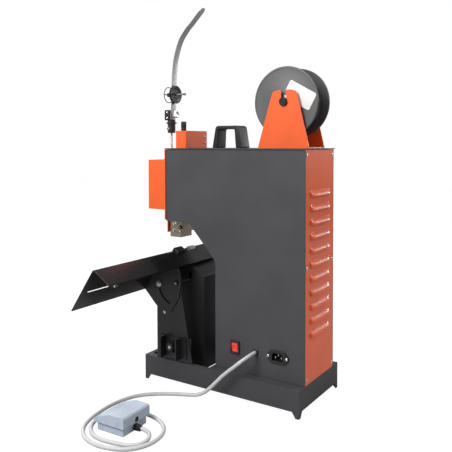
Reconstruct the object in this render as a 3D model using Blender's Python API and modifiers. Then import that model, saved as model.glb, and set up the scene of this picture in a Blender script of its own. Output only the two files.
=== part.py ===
"""Bench-top electric wire stitcher: saddle table, one-revolution crank drive, wire spool and foot switch.

Frame: metres, +Z up, the operator stands at -Y, the mains inlet is on the +X side. The machine is built
about its own centre plane, and every piece hangs from one empty that puts the origin under the middle of
the whole object's box.
"""
import math

import bmesh
import bpy
from mathutils import Matrix, Vector

# ---------------------------------------------------------------- driving dimensions
GAP = 0.0003                 # running gap between pieces that touch
BASE_WIDTH = 0.174
BASE_DEPTH = 0.357
BASE_HEIGHT = 0.051
FOOT_HEIGHT = 0.011
FOOT_LENGTH = 0.014
FOOT_TIP = 0.007
SKIRT = 0.002
BODY_WIDTH = 0.127
BODY_TOP = 0.4828
HEAD_FRONT = -0.140
HEAD_BOTTOM = 0.332
COLUMN_FRONT = -0.0165
SHEET = 0.002
LINER = 0.0015
BEARING_PLATE = 0.006
TABLE_LENGTH = 0.574
TABLE_SHEET = 0.002
RIDGE = Vector((-0.125, 0.271))          # y and z of the saddle's ridge
FRONT_LEAF = 0.0999
BACK_LEAF = 0.0463
FRONT_SLOPE = math.radians(55.2)
BACK_SLOPE = math.radians(32.6)
PIVOT = Vector((-0.096, 0.211))          # y and z of the table's tilt pins
ARC_RADIUS = 0.045
ARC_BOLT_ANGLE = math.radians(188)
TILT_ROD = 0.006
STAND_TRAVEL = 0.012
LOCK_Y = -0.1030
LOCK_Z = 0.0830
LOCK_SCREW = 0.006
POST_OUTER = BASE_WIDTH / 2 - 0.0025
POST_SHEET = 0.003
COLUMN_HALF = 0.040
ANVIL_TOP = 0.2545
CRANK_Z = 0.410
STROKE = 0.022
SHAFT_DIAMETER = 0.016
BEARING_DIAMETER = 0.028
SPOOL_RADIUS = 0.0665
SPOOL_WIDTH = 0.054
SPOOL_X = 0.009
SPOOL_Y = 0.124
SPOOL_Z = BODY_TOP + 0.0872
AXLE_DIAMETER = 0.010
MOTOR_Z = 0.170
MOTOR_DIAMETER = 0.090
MOTOR_LENGTH = 0.094
BELT_Y = 0.057
CORD_DIAMETER = 0.007
PEDAL_WIDTH = 0.070
PEDAL_LENGTH = 0.066
PEDAL_HEIGHT = 0.034
PEDAL_REAR = Vector((0.2745, -0.0365))   # x and y of the middle of the pedal's rear edge
PEDAL_YAW = math.radians(2)
ORIGIN_SHIFT_X = -0.0124                 # machine centre plane to the middle of the object's box

# ---------------------------------------------------------------- derived levels
BASE_BACK = BASE_DEPTH / 2
BASE_FRONT = -BASE_DEPTH / 2
BODY_BACK = BASE_BACK
BODY_BOTTOM = BASE_HEIGHT + GAP
BODY_SIDE = BODY_WIDTH / 2
INSIDE = BODY_SIDE - SHEET - GAP         # half width of what stands between the side panels
WALL_TOP = BODY_TOP - SHEET - GAP
ROOF = BODY_TOP + GAP                    # level that the pieces on the top plate stand on
CRANK_THROW = STROKE / 2

COLOURS = {
    "panel_grey": (0.075, 0.075, 0.080, 0.42, 0.0),
    "base_grey": (0.055, 0.056, 0.060, 0.45, 0.0),
    "signal_orange": (0.80, 0.13, 0.045, 0.38, 0.0),
    "table_black": (0.012, 0.012, 0.013, 0.28, 0.0),
    "moulded_black": (0.02, 0.02, 0.021, 0.5, 0.0),
    "spool_grey": (0.17, 0.17, 0.17, 0.5, 0.0),
    "bright_steel": (0.62, 0.61, 0.59, 0.3, 1.0),
    "dull_steel": (0.32, 0.32, 0.31, 0.42, 1.0),
    "cast_iron": (0.12, 0.12, 0.125, 0.6, 0.6),
    "wire_dark": (0.16, 0.16, 0.16, 0.4, 1.0),
    "bronze": (0.55, 0.38, 0.18, 0.4, 1.0),
    "rubber": (0.02, 0.02, 0.02, 0.8, 0.0),
    "switch_red": (0.75, 0.03, 0.02, 0.3, 0.0),
    "board_green": (0.02, 0.12, 0.05, 0.5, 0.0),
    "pedal_blue_grey": (0.27, 0.31, 0.38, 0.5, 0.0),
    "cord_grey": (0.50, 0.50, 0.51, 0.5, 0.0),
}


# ---------------------------------------------------------------- scene helpers
def clear_scene():
    for item in list(bpy.data.objects):
        bpy.data.objects.remove(item, do_unlink=True)


def make_collection(name):
    group = bpy.data.collections.new(name)
    bpy.context.scene.collection.children.link(group)
    return group


def material(name):
    found = bpy.data.materials.get(name)
    if found:
        return found
    red, green, blue, roughness, metallic = COLOURS[name]
    made = bpy.data.materials.new(name)
    made.use_nodes = True
    shader = made.node_tree.nodes["Principled BSDF"]
    shader.inputs["Base Color"].default_value = (red, green, blue, 1)
    shader.inputs["Roughness"].default_value = roughness
    shader.inputs["Metallic"].default_value = metallic
    return made


clear_scene()
PARTS = make_collection("wire_stitcher")
CUTTERS = make_collection("cutters")
ORIGIN = bpy.data.objects.new("machine_origin", None)
ORIGIN.location = (ORIGIN_SHIFT_X, 0, 0)
PARTS.objects.link(ORIGIN)


def add_object(name, mesh, finish, place=(0, 0, 0), turn=(0, 0, 0)):
    """Link a mesh as a sub-part, or as a hidden cutter when it has no finish."""
    made = bpy.data.objects.new(name, mesh)
    made.location = place
    made.rotation_euler = turn
    made.parent = ORIGIN
    if finish is None:
        made.hide_render = True
        made.display_type = "WIRE"
        CUTTERS.objects.link(made)
    else:
        mesh.materials.clear()
        mesh.materials.append(material(finish))
        PARTS.objects.link(made)
    return made


def mesh_from(name, bm):
    mesh = bpy.data.meshes.new(name)
    bm.to_mesh(mesh)
    bm.free()
    return mesh


def smooth(made, angle=35):
    made.data.shade_smooth()
    made.data.set_sharp_from_angle(angle=math.radians(angle))
    return made


def block(name, low, high, finish, edge=0.0):
    """A box between two corners, its origin at its centre, with an optional rounded edge."""
    low, high = Vector(low), Vector(high)
    bm = bmesh.new()
    bmesh.ops.create_cube(bm, size=1)
    bmesh.ops.scale(bm, vec=high - low, verts=bm.verts)
    made = add_object(name, mesh_from(name, bm), finish, (low + high) / 2)
    if edge:
        bevel = made.modifiers.new("edge", "BEVEL")
        bevel.width = edge
        bevel.segments = 2
    return made


AXIS_TURN = {"X": (0, math.pi / 2, 0), "Y": (-math.pi / 2, 0, 0), "Z": (0, 0, 0)}


def rod(name, diameter, start, end, axis, finish, across=(0, 0), sides=24):
    """A cylinder along an axis from start to end; across gives its place on the other two axes."""
    bm = bmesh.new()
    bmesh.ops.create_cone(bm, cap_ends=True, segments=sides, radius1=diameter / 2,
                          radius2=diameter / 2, depth=end - start)
    middle = (start + end) / 2
    place = {"X": (middle, *across), "Y": (across[0], middle, across[1]), "Z": (*across, middle)}[axis]
    return smooth(add_object(name, mesh_from(name, bm), finish, place, AXIS_TURN[axis]))


def turned(name, profile, axis, finish, centre=(0, 0, 0), sides=32):
    """A profile of (radius, height) points turned about its axis; a closed ring when it ends where it starts.

    Heights run along the axis from the centre. The profile runs down its outer side.
    """
    ring = profile[0] == profile[-1]
    points = profile[:-1] if ring else profile
    bm = bmesh.new()
    verts = [bm.verts.new((radius, 0, height)) for radius, height in points]
    for first, second in zip(verts, verts[1:]):
        bm.edges.new((first, second))
    if ring:
        bm.edges.new((verts[-1], verts[0]))
    made = add_object(name, mesh_from(name, bm), finish, centre, AXIS_TURN[axis])
    screw = made.modifiers.new("turn", "SCREW")
    screw.steps = sides
    screw.render_steps = sides
    screw.use_merge_vertices = True
    screw.merge_threshold = 0.00002
    screw.use_smooth_shade = False
    return made


def rounded(corners, steps=5):
    """Corner points of (u, v) or (u, v, radius) as a closed outline with arcs at the given radii."""
    outline = []
    count = len(corners)
    for index, corner in enumerate(corners):
        here = Vector(corner[:2])
        if len(corner) < 3 or not corner[2]:
            outline.append(here)
            continue
        before = (Vector(corners[index - 1][:2]) - here).normalized()
        after = (Vector(corners[(index + 1) % count][:2]) - here).normalized()
        half = before.angle(after) / 2
        reach = corner[2] / math.tan(half)
        centre = here + (before + after).normalized() * (corner[2] / math.sin(half))
        start = here + before * reach - centre
        finish = here + after * reach - centre
        sweep = start.angle(finish)
        side = 1 if start.x * finish.y - start.y * finish.x > 0 else -1
        for step in range(steps + 1):
            turn = Matrix.Rotation(side * sweep * step / steps, 2)
            outline.append(centre + turn @ start)
    return outline


def circle(centre, radius, sides=20):
    angles = (2 * math.pi * step / sides for step in range(sides))
    return [Vector((centre[0] + radius * math.cos(a), centre[1] + radius * math.sin(a))) for a in angles]


# Each plane gives the turn that lays a flat outline into it, and how its thickness axis points.
PLANES = {
    "YZ": ((math.pi / 2, 0, math.pi / 2), Vector((1, 0, 0))),
    "XZ": ((math.pi / 2, 0, 0), Vector((0, 1, 0))),
    "XY": ((0, 0, 0), Vector((0, 0, 1))),
}


def plate(name, outlines, plane, low, high, finish):
    """Outlines (the first one solid, those inside it holes) given thickness from low to high."""
    turn, normal = PLANES[plane]
    curve = bpy.data.curves.new(name, "CURVE")
    curve.dimensions = "2D"
    curve.fill_mode = "BOTH"
    curve.extrude = (high - low) / 2
    for outline in outlines:
        spline = curve.splines.new("POLY")
        spline.points.add(len(outline) - 1)
        for point, corner in zip(spline.points, outline):
            point.co = (corner[0], corner[1], 0, 1)
        spline.use_cyclic_u = True
    source = bpy.data.objects.new(name + "_outline", curve)
    bpy.context.scene.collection.objects.link(source)
    mesh = welded_mesh(name, source)
    return add_object(name, mesh, finish, normal * (low + high) / 2, turn)


def welded_mesh(name, source):
    """The mesh of a curve object, with its caps welded; the curve is removed."""
    bpy.context.view_layer.update()
    graph = bpy.context.evaluated_depsgraph_get()
    mesh = bpy.data.meshes.new_from_object(source.evaluated_get(graph))
    mesh.name = name
    bm = bmesh.new()
    bm.from_mesh(mesh)
    bmesh.ops.remove_doubles(bm, verts=bm.verts, dist=0.00001)
    bm.to_mesh(mesh)
    bm.free()
    data = source.data
    bpy.data.objects.remove(source, do_unlink=True)
    bpy.data.curves.remove(data)
    return mesh


def tube(name, points, diameter, finish, resolution=2, closed=False):
    """A round tube along points, with closed ends."""
    curve = bpy.data.curves.new(name, "CURVE")
    curve.dimensions = "3D"
    curve.bevel_depth = diameter / 2
    curve.bevel_resolution = resolution
    curve.use_fill_caps = not closed
    spline = curve.splines.new("POLY")
    spline.points.add(len(points) - 1)
    for point, place in zip(spline.points, points):
        point.co = (*place, 1)
    spline.use_cyclic_u = closed
    source = bpy.data.objects.new(name + "_path", curve)
    bpy.context.scene.collection.objects.link(source)
    return smooth(add_object(name, welded_mesh(name, source), finish))


def cut(target, *cutters):
    for cutter in cutters:
        step = target.modifiers.new("cut", "BOOLEAN")
        step.operation = "DIFFERENCE"
        step.object = cutter


def join(target, *pieces):
    for piece in pieces:
        step = target.modifiers.new("join", "BOOLEAN")
        step.operation = "UNION"
        step.object = piece


def merged(name, members):
    """Several hidden cutters as one mesh of separate bodies, for one Boolean step."""
    bm = bmesh.new()
    bpy.context.view_layer.update()
    for member in members:
        mesh = member.data.copy()
        mesh.transform(ORIGIN.matrix_world.inverted() @ member.matrix_world)
        bm.from_mesh(mesh)
        bpy.data.meshes.remove(mesh)
        bpy.data.objects.remove(member, do_unlink=True)
    return add_object(name, mesh_from(name, bm), None)


def offset_path(path, distance):
    """An open path of corners moved sideways, to its left, by a distance; radii follow the bend."""
    moved = []
    for index, corner in enumerate(path):
        here = Vector(corner[:2])
        sides = []
        if index:
            sides.append((here - Vector(path[index - 1][:2])).normalized())
        if index < len(path) - 1:
            sides.append((Vector(path[index + 1][:2]) - here).normalized())
        normals = [Vector((-side.y, side.x)) for side in sides]
        if len(normals) == 1:
            moved.append((*(here + normals[0] * distance), 0))
            continue
        mean = (normals[0] + normals[1]).normalized()
        shift = mean * (distance / mean.dot(normals[0]))
        bend = sides[0].x * sides[1].y - sides[0].y * sides[1].x
        radius = corner[2] if len(corner) > 2 else 0
        radius = max(radius - distance * (1 if bend > 0 else -1), 0) if radius else 0
        moved.append((*(here + shift), radius))
    return moved


# ---------------------------------------------------------------- base
LUG_INNER = POST_OUTER - POST_SHEET - GAP - 0.0025
LUG_TOP = 0.100
LUG_FRONT = -0.145
LUG_BACK = -0.065
WINDOW_HALF = LUG_INNER - 0.0007
WINDOW_FRONT = -0.150
WINDOW_BACK = -0.022
BAR_TOP = 0.027


def foot_gap(low, high):
    """The space between two feet whose inner edges slope down to narrow tips."""
    slope = (FOOT_LENGTH - FOOT_TIP) / FOOT_HEIGHT
    below = 0.01
    tip = FOOT_TIP - slope * below
    return [Vector((low + tip, -below)), Vector((high - tip, -below)), Vector((high - FOOT_LENGTH, FOOT_HEIGHT)),
            Vector((low + FOOT_LENGTH, FOOT_HEIGHT))]


def build_base():
    base = block("base_plinth", (-BASE_WIDTH / 2, BASE_FRONT, 0), (BASE_WIDTH / 2, BASE_BACK, BASE_HEIGHT),
                 "base_grey")
    hollow = block("base_hollow", (-BASE_WIDTH / 2 + SKIRT, BASE_FRONT + SKIRT, -0.01),
                   (BASE_WIDTH / 2 - SKIRT, BASE_BACK - SKIRT, BASE_HEIGHT - SKIRT), None)
    long_relief = plate("base_long_relief", [foot_gap(BASE_FRONT, BASE_BACK)], "YZ", -BASE_WIDTH, BASE_WIDTH, None)
    short_relief = plate("base_short_relief", [foot_gap(-BASE_WIDTH / 2, BASE_WIDTH / 2)], "XZ", -BASE_DEPTH,
                         BASE_DEPTH, None)
    window = block("base_window", (-WINDOW_HALF, WINDOW_FRONT, BASE_HEIGHT - 0.01),
                   (WINDOW_HALF, WINDOW_BACK, BASE_HEIGHT + 0.01), None)
    cut(base, hollow, long_relief, short_relief, window)
    bar = block("base_cross_bar", (-BASE_WIDTH / 2 + SKIRT / 2, LUG_FRONT, BAR_TOP - 0.006),
                (BASE_WIDTH / 2 - SKIRT / 2, -0.112, BAR_TOP), None)
    join(base, bar)
    for side, label in ((1, "right"), (-1, "left")):
        edges = sorted((side * LUG_INNER, side * (POST_OUTER - POST_SHEET - GAP)))
        lug = block("base_lug_" + label, (edges[0], LUG_FRONT, BASE_HEIGHT - SKIRT / 2),
                    (edges[1], LUG_BACK, LUG_TOP), None)
        join(base, lug)
    cut(base, rod("lug_hole", LOCK_SCREW + 2 * GAP, 0.05, BASE_WIDTH / 2 + 0.01, "X", None, (LOCK_Y, LOCK_Z), 16))


# ---------------------------------------------------------------- body shell
THROAT = [(HEAD_FRONT, HEAD_BOTTOM), (-0.082, HEAD_BOTTOM, 0.015),
          (COLUMN_FRONT, 0.2601, 0.025), (COLUMN_FRONT, BODY_BOTTOM)]
SWITCH_CENTRE = (0.0300, 0.0970)
SWITCH_SIZE = (0.0205, 0.0260)
INLET_CENTRE = (0.1238, 0.0955)
GLAND_CENTRE = (0.0765, 0.0963)
GLAND_HOLE = 0.0102


def rectangle(centre, size):
    half_u, half_v = size[0] / 2, size[1] / 2
    signs = ((-1, -1), (1, -1), (1, 1), (-1, 1))
    return [Vector((centre[0] + su * half_u, centre[1] + sv * half_v)) for su, sv in signs]


ROCKER_DEPTH = 0.003
SWITCH_BODY = (SWITCH_SIZE[0] - 0.003, SWITCH_SIZE[1] - 0.003)
INLET_BODY = (0.0275, 0.0195)


def build_side_panels():
    outline = rounded(THROAT + [(BODY_BACK, BODY_BOTTOM), (BODY_BACK, WALL_TOP), (HEAD_FRONT, WALL_TOP)])
    openings = [rectangle(SWITCH_CENTRE, [size + 2 * GAP for size in SWITCH_BODY]),
                rectangle(INLET_CENTRE, [size + 2 * GAP for size in INLET_BODY]),
                circle(GLAND_CENTRE, GLAND_HOLE / 2)]
    plate("side_panel_right", [outline] + openings, "YZ", BODY_SIDE - SHEET, BODY_SIDE, "panel_grey")
    plate("side_panel_left", [outline], "YZ", -BODY_SIDE, -BODY_SIDE + SHEET, "panel_grey")


def build_throat_liner():
    """One bent sheet that closes the head's underside, the throat and the column's front."""
    inner = offset_path(THROAT, LINER)
    profile = rounded(list(THROAT) + list(reversed(inner)))
    plate("throat_liner", [profile], "YZ", -INSIDE, INSIDE, "panel_grey")


LOUVRES = 11
LOUVRE_PITCH = 0.0260
LOUVRE_TOP = 0.4060
LOUVRE_HALF = 0.0415
LOUVRE_RISE = 0.011
LOUVRE_OUT = 0.0045
LOUVRE_SKIN = 0.0012


def build_back_panel():
    """The rear cover, with hooded louvres that open downwards."""
    panel = block("back_panel", (-INSIDE, BODY_BACK - SHEET, BODY_BOTTOM), (INSIDE, BODY_BACK, WALL_TOP),
                  "signal_orange")
    hoods = []
    slots = []
    for index in range(LOUVRES):
        level = LOUVRE_TOP - index * LOUVRE_PITCH
        face = BODY_BACK
        hood = [(face - SHEET / 2, level - LOUVRE_RISE), (face + LOUVRE_OUT, level - LOUVRE_RISE),
                (face + LOUVRE_OUT, level - LOUVRE_RISE + 0.002), (face - SHEET / 2, level)]
        hoods.append(plate(f"hood_{index}", [hood], "YZ", -LOUVRE_HALF, LOUVRE_HALF, None))
        inner = LOUVRE_OUT - LOUVRE_SKIN
        slot = [(face - 2 * SHEET, level - LOUVRE_RISE - 0.001), (face + inner, level - LOUVRE_RISE - 0.001),
                (face + inner, level - LOUVRE_RISE + 0.001), (face - SHEET / 4, level - 0.0035),
                (face - 2 * SHEET, level - 0.0035)]
        reach = LOUVRE_HALF - LOUVRE_SKIN
        slots.append(plate(f"slot_{index}", [slot], "YZ", -reach, reach, None))
    join(panel, merged("hoods", hoods))
    cut(panel, merged("slots", slots))


def build_top_plate():
    plate("top_plate", [rectangle((0, (BODY_BACK + 0.002 + HEAD_FRONT - 0.002) / 2),
                                  (BODY_WIDTH + 0.004, BODY_BACK - HEAD_FRONT + 0.004))],
          "XY", BODY_TOP - SHEET, BODY_TOP, "panel_grey")


# ---------------------------------------------------------------- crank drive inside the body
REAR_PLATE_Y = 0.022
COLLAR_RADIUS = 0.020
NOTCH_DEPTH = 0.0038
COLLAR_START = 0.0315
COLLAR_END = 0.0440
FLYWHEEL_START = 0.0480
FLYWHEEL_END = 0.0660
FLYWHEEL_RADIUS = INSIDE - 0.0092
GROOVE_RADIUS = FLYWHEEL_RADIUS - 0.0055
MOTOR_GROOVE_RADIUS = 0.0145
BELT_HALF = 0.0045
DISC_RADIUS = 0.025
DISC_BACK = -0.1435
DISC_FRONT = -0.1495
PIN_DIAMETER = 0.008
ROLLER_DIAMETER = 0.014
RAM_BACK = -0.1502
RAM_FRONT = -0.1582


def build_bearing_plates():
    hole = circle((0, CRANK_Z), BEARING_DIAMETER / 2)
    floor = HEAD_BOTTOM + LINER + GAP
    front = rectangle((0, (floor + WALL_TOP) / 2), (2 * INSIDE, WALL_TOP - floor))
    plate("front_bearing_plate", [front, hole], "XZ", HEAD_FRONT, HEAD_FRONT + BEARING_PLATE, "cast_iron")
    rear = rectangle((0, (0.30 + WALL_TOP) / 2), (2 * INSIDE, WALL_TOP - 0.30))
    plate("rear_bearing_plate", [rear, hole], "XZ", REAR_PLATE_Y, REAR_PLATE_Y + BEARING_PLATE, "cast_iron")


def build_bearings():
    outer = BEARING_DIAMETER / 2 - GAP
    inner = SHAFT_DIAMETER / 2 + GAP
    half = BEARING_PLATE / 2
    ring = [(outer, half), (outer, -half), (inner, -half), (inner, half), (outer, half)]
    for name, start in (("front_bearing", HEAD_FRONT), ("rear_bearing", REAR_PLATE_Y)):
        turned(name, ring, "Y", "bronze", (0, start + half, CRANK_Z), 24)


def build_crankshaft():
    """Shaft with the crank disc and pin in front and the clutch collar behind."""
    shaft = rod("crankshaft", SHAFT_DIAMETER, DISC_FRONT + 0.001, 0.0705, "Y", "dull_steel", (0, CRANK_Z))
    disc = rod("crank_disc", 2 * DISC_RADIUS, DISC_FRONT, DISC_BACK, "Y", None, (0, CRANK_Z), 40)
    pin = rod("crank_pin", PIN_DIAMETER, RAM_FRONT + GAP, DISC_FRONT + 0.001, "Y", None,
              (0, CRANK_Z + CRANK_THROW), 16)
    collar = rod("clutch_collar", 2 * COLLAR_RADIUS, COLLAR_START, COLLAR_END, "Y", None, (0, CRANK_Z), 32)
    notches = []
    for side, label in ((-1, "low"), (1, "high")):
        levels = sorted((CRANK_Z + side * (COLLAR_RADIUS - NOTCH_DEPTH), CRANK_Z + side * (COLLAR_RADIUS + 0.001)))
        notches.append(block("clutch_notch_" + label, (-0.005, COLLAR_START - 0.001, levels[0]),
                             (0.005, COLLAR_END + 0.001, levels[1]), None))
    retainer = rod("shaft_retainer", 0.024, FLYWHEEL_END + GAP, 0.0695, "Y", None, (0, CRANK_Z), 24)
    join(shaft, disc, pin, collar, retainer)
    cut(shaft, *notches)


def build_crank_roller():
    outer = ROLLER_DIAMETER / 2
    inner = PIN_DIAMETER / 2 + GAP
    half = (DISC_FRONT - RAM_FRONT) / 2 - 2 * GAP
    ring = [(outer, half), (outer, -half), (inner, -half), (inner, half), (outer, half)]
    turned("crank_roller", ring, "Y", "bronze", (0, (DISC_FRONT + RAM_FRONT) / 2, CRANK_Z + CRANK_THROW), 24)


def build_flywheel():
    half = (FLYWHEEL_END - FLYWHEEL_START) / 2
    bore = SHAFT_DIAMETER / 2 + GAP
    web = 0.003
    rim = 0.040
    hub = 0.017
    profile = [(FLYWHEEL_RADIUS, half), (FLYWHEEL_RADIUS, BELT_HALF + 0.002), (GROOVE_RADIUS, BELT_HALF - 0.001),
               (GROOVE_RADIUS, -BELT_HALF + 0.001), (FLYWHEEL_RADIUS, -BELT_HALF - 0.002),
               (FLYWHEEL_RADIUS, -half), (rim, -half), (rim - 0.001, -web), (hub, -web), (hub, -half),
               (bore, -half), (bore, half), (hub, half), (hub, web), (rim - 0.001, web), (rim, half),
               (FLYWHEEL_RADIUS, half)]
    turned("flywheel", profile, "Y", "cast_iron", (0, (FLYWHEEL_START + FLYWHEEL_END) / 2, CRANK_Z), 40)


def build_motor():
    start = BELT_Y + 0.016
    radius = MOTOR_DIAMETER / 2
    length = MOTOR_LENGTH
    boss = 0.016
    profile = [(0, length), (radius * 0.62, length), (radius * 0.95, length - 0.006), (radius, length - 0.014),
               (radius, 0.012), (radius * 0.95, 0.006), (boss, 0.004), (boss, 0), (0, 0)]
    turned("motor", profile, "Y", "cast_iron", (0, start, MOTOR_Z), 32)
    half = 0.010
    face = MOTOR_GROOVE_RADIUS + 0.0055
    pulley = [(0, half + 0.0055), (0.005, half + 0.0055), (0.005, half), (face, half),
              (face, BELT_HALF + 0.002), (MOTOR_GROOVE_RADIUS, BELT_HALF - 0.001),
              (MOTOR_GROOVE_RADIUS, -BELT_HALF + 0.001), (face, -BELT_HALF - 0.002), (face, -half), (0, -half)]
    turned("motor_pulley", pulley, "Y", "dull_steel", (0, BELT_Y, MOTOR_Z), 28)


def build_motor_bracket():
    """A cradle on the base plate that takes the motor in a round seat."""
    half = 0.036
    low = BODY_BOTTOM
    high = MOTOR_Z - 0.012
    outline = rectangle((0, (low + high) / 2), (2 * half, high - low))
    cradle = plate("motor_bracket", [outline], "XZ", BELT_Y + 0.034, BELT_Y + 0.094, "dull_steel")
    seat = rod("motor_seat", MOTOR_DIAMETER + 2 * GAP, BELT_Y, BELT_Y + 0.14, "Y", None, (0, MOTOR_Z), 32)
    tunnel = block("bracket_tunnel", (-half + 0.006, BELT_Y, low + 0.006),
                   (half - 0.006, BELT_Y + 0.14, MOTOR_Z - MOTOR_DIAMETER / 2 - 0.008), None)
    cut(cradle, seat, tunnel)


def build_belt():
    """A flat loop round both pulleys: two arcs joined by their common tangents."""
    def loop(extra):
        big = GROOVE_RADIUS + GAP + extra
        small = MOTOR_GROOVE_RADIUS + GAP + extra
        lean = math.asin((big - small) / (CRANK_Z - MOTOR_Z))
        top = [lean * -1 + (math.pi + 2 * lean) * step / 20 for step in range(21)]
        low = [math.pi + lean + (math.pi - 2 * lean) * step / 12 for step in range(13)]
        upper = [Vector((big * math.cos(a), CRANK_Z + big * math.sin(a))) for a in top]
        lower = [Vector((small * math.cos(a), MOTOR_Z + small * math.sin(a))) for a in low]
        return upper + lower
    half = BELT_HALF - 0.001 - GAP
    plate("drive_belt", [loop(0.0045), loop(0)], "XZ", BELT_Y - half, BELT_Y + half, "rubber")


SOLENOID_TOP = CRANK_Z - 0.044
SOLENOID_DEPTH = 0.0165
PAWL_TOP = CRANK_Z - COLLAR_RADIUS - GAP


def build_clutch():
    """Solenoid on the rear bearing plate, and the pawl that catches the collar's notch after a turn."""
    back = REAR_PLATE_Y + BEARING_PLATE + GAP
    body = block("clutch_solenoid", (-0.014, back, SOLENOID_TOP - 0.034), (0.014, back + SOLENOID_DEPTH, SOLENOID_TOP),
                 "dull_steel", 0.001)
    middle = back + SOLENOID_DEPTH / 2
    bore = rod("pawl_bore", 0.0090, SOLENOID_TOP - 0.014, SOLENOID_TOP + 0.01, "Z", None, (0, middle), 20)
    cut(body, bore)
    rod("clutch_pawl", 0.0084, SOLENOID_TOP - 0.0095, PAWL_TOP, "Z", "bright_steel", (0, middle), 20)


def build_control_board():
    """Circuit board on pillars from the left side panel."""
    wall = -BODY_SIDE + SHEET + GAP
    board = block("control_board", (wall + 0.006, 0.002, 0.080), (wall + 0.0076, 0.056, 0.180), "board_green")
    members = []
    for y in (0.007, 0.051):
        for z in (0.085, 0.175):
            members.append(rod(f"pillar_{y}_{z}", 0.005, wall, wall + 0.007, "X", None, (y, z), 10))
    members.append(block("relay", (wall + 0.007, 0.010, 0.095), (wall + 0.020, 0.028, 0.120), None))
    members.append(block("transformer", (wall + 0.007, 0.012, 0.130), (wall + 0.030, 0.046, 0.168), None))
    join(board, merged("board_parts", members))


# ---------------------------------------------------------------- stitching head in front of the body
GUIDE_HALF = 0.018
STEM_HALF = 0.008
HEAD_TOP = CRANK_Z - 0.030
HEAD_LOW = HEAD_BOTTOM + 0.0015
BLADE_HALF = 0.006
BLADE_LOW = HEAD_BOTTOM - 0.032
STEM_LOW = CRANK_Z - 0.054
YOKE_TOP = CRANK_Z + CRANK_THROW + 0.0157
YOKE_LOW = CRANK_Z + CRANK_THROW - 0.0157
COVER_HALF = BODY_SIDE - 0.0055
COVER_FRONT = -0.1915
COVER_LOW = CRANK_Z - 0.056
COVER_HIGH = CRANK_Z + 0.048
COVER_SHEET = 0.0015


def build_head_plate():
    """Plate on the body's front with two rails and a gib that guide the ram."""
    back = HEAD_FRONT - GAP
    head = block("head_plate", (-0.026, -0.1497, HEAD_LOW), (0.026, back, HEAD_TOP), "dull_steel")
    for side, label in ((1, "right"), (-1, "left")):
        edges = sorted((side * (STEM_HALF + GAP), side * GUIDE_HALF))
        rail = block("rail_" + label, (edges[0], RAM_FRONT - 0.002, HEAD_LOW), (edges[1], -0.149, HEAD_TOP), None)
        join(head, rail)
    join(head, block("ram_gib", (-GUIDE_HALF, RAM_FRONT - GAP - 0.004, HEAD_LOW),
                     (GUIDE_HALF, RAM_FRONT - GAP, HEAD_TOP), None))


def build_ram():
    """Yoke with the slot that the crank roller runs in, and the stem between the rails."""
    slot_half_height = ROLLER_DIAMETER / 2 + 0.0028
    slot_half_width = CRANK_THROW + ROLLER_DIAMETER / 2 + 0.0015
    yoke_half = slot_half_width + 0.005
    outline = [(-STEM_HALF, STEM_LOW), (STEM_HALF, STEM_LOW), (STEM_HALF, YOKE_LOW), (yoke_half, YOKE_LOW),
               (yoke_half, YOKE_TOP), (-yoke_half, YOKE_TOP), (-yoke_half, YOKE_LOW), (-STEM_HALF, YOKE_LOW)]
    slot = rectangle((0, CRANK_Z + CRANK_THROW), (2 * slot_half_width, 2 * slot_half_height))
    plate("ram", [outline, slot], "XZ", RAM_FRONT, RAM_BACK, "bright_steel")
    block("driver_blade", (-BLADE_HALF, RAM_FRONT + 0.0007, BLADE_LOW),
          (BLADE_HALF, RAM_BACK - 0.0004, STEM_LOW - GAP), "bright_steel")


FORMER_LOW = HEAD_BOTTOM - 0.0405
GUARD_LOW = HEAD_BOTTOM - 0.031
GUARD_TOP = HEAD_BOTTOM + 0.020
FORMER_TOP = HEAD_BOTTOM - 0.0008
FORMER_HALF = 0.019


def build_former():
    """Block that bends the wire into a staple, with a channel for the driver."""
    former = block("former_block", (-FORMER_HALF, -0.1640, FORMER_LOW), (FORMER_HALF, -0.1290, FORMER_TOP),
                   "dull_steel")
    channel = block("former_channel", (-BLADE_HALF - GAP, RAM_FRONT, FORMER_LOW - 0.01),
                    (BLADE_HALF + GAP, RAM_BACK, FORMER_TOP + 0.01), None)
    foot = block("former_foot", (-FORMER_HALF - 0.01, -0.135, FORMER_LOW - 0.01),
                 (FORMER_HALF + 0.01, -0.12, FORMER_LOW + 0.012), None)
    cut(former, channel, foot)
    guard = block("head_guard", (-0.024, -0.1685, GUARD_LOW), (0.024, -0.1669, GUARD_TOP), "signal_orange")
    flange = GUARD_TOP - 0.005
    join(guard, block("guard_flange", (-0.024, -0.1680, flange), (-0.0185, -0.1500, GUARD_TOP), None),
         block("guard_flange_right", (0.0185, -0.1680, flange), (0.024, -0.1500, GUARD_TOP), None))


def build_front_cover():
    """Sheet box over the crank and ram, open at its back and underside."""
    cover = block("head_front_cover", (-COVER_HALF, COVER_FRONT, COVER_LOW), (COVER_HALF, HEAD_FRONT - GAP, COVER_HIGH),
                  "signal_orange")
    room = block("cover_room", (-COVER_HALF + COVER_SHEET, COVER_FRONT + COVER_SHEET, COVER_LOW - 0.01),
                 (COVER_HALF - COVER_SHEET, HEAD_FRONT + 0.01, COVER_HIGH - COVER_SHEET), None)
    hole = rod("cover_hole", 0.0056, COVER_HIGH - 0.01, COVER_HIGH + 0.01, "Z", None, (0, GUIDE_Y), 16)
    cut(cover, room, hole)


# ---------------------------------------------------------------- top of the body
TOP_COVER_HALF = 0.038
TOP_COVER_FRONT = -0.133
TOP_COVER_BACK = -0.107
TOP_COVER_HIGH = BODY_TOP + 0.0362
KNOB_X = 0.028
HANDLE_HALF = 0.0165
HANDLE_TOP = BODY_TOP + 0.0457
HANDLE_BAR = 0.006


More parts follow.
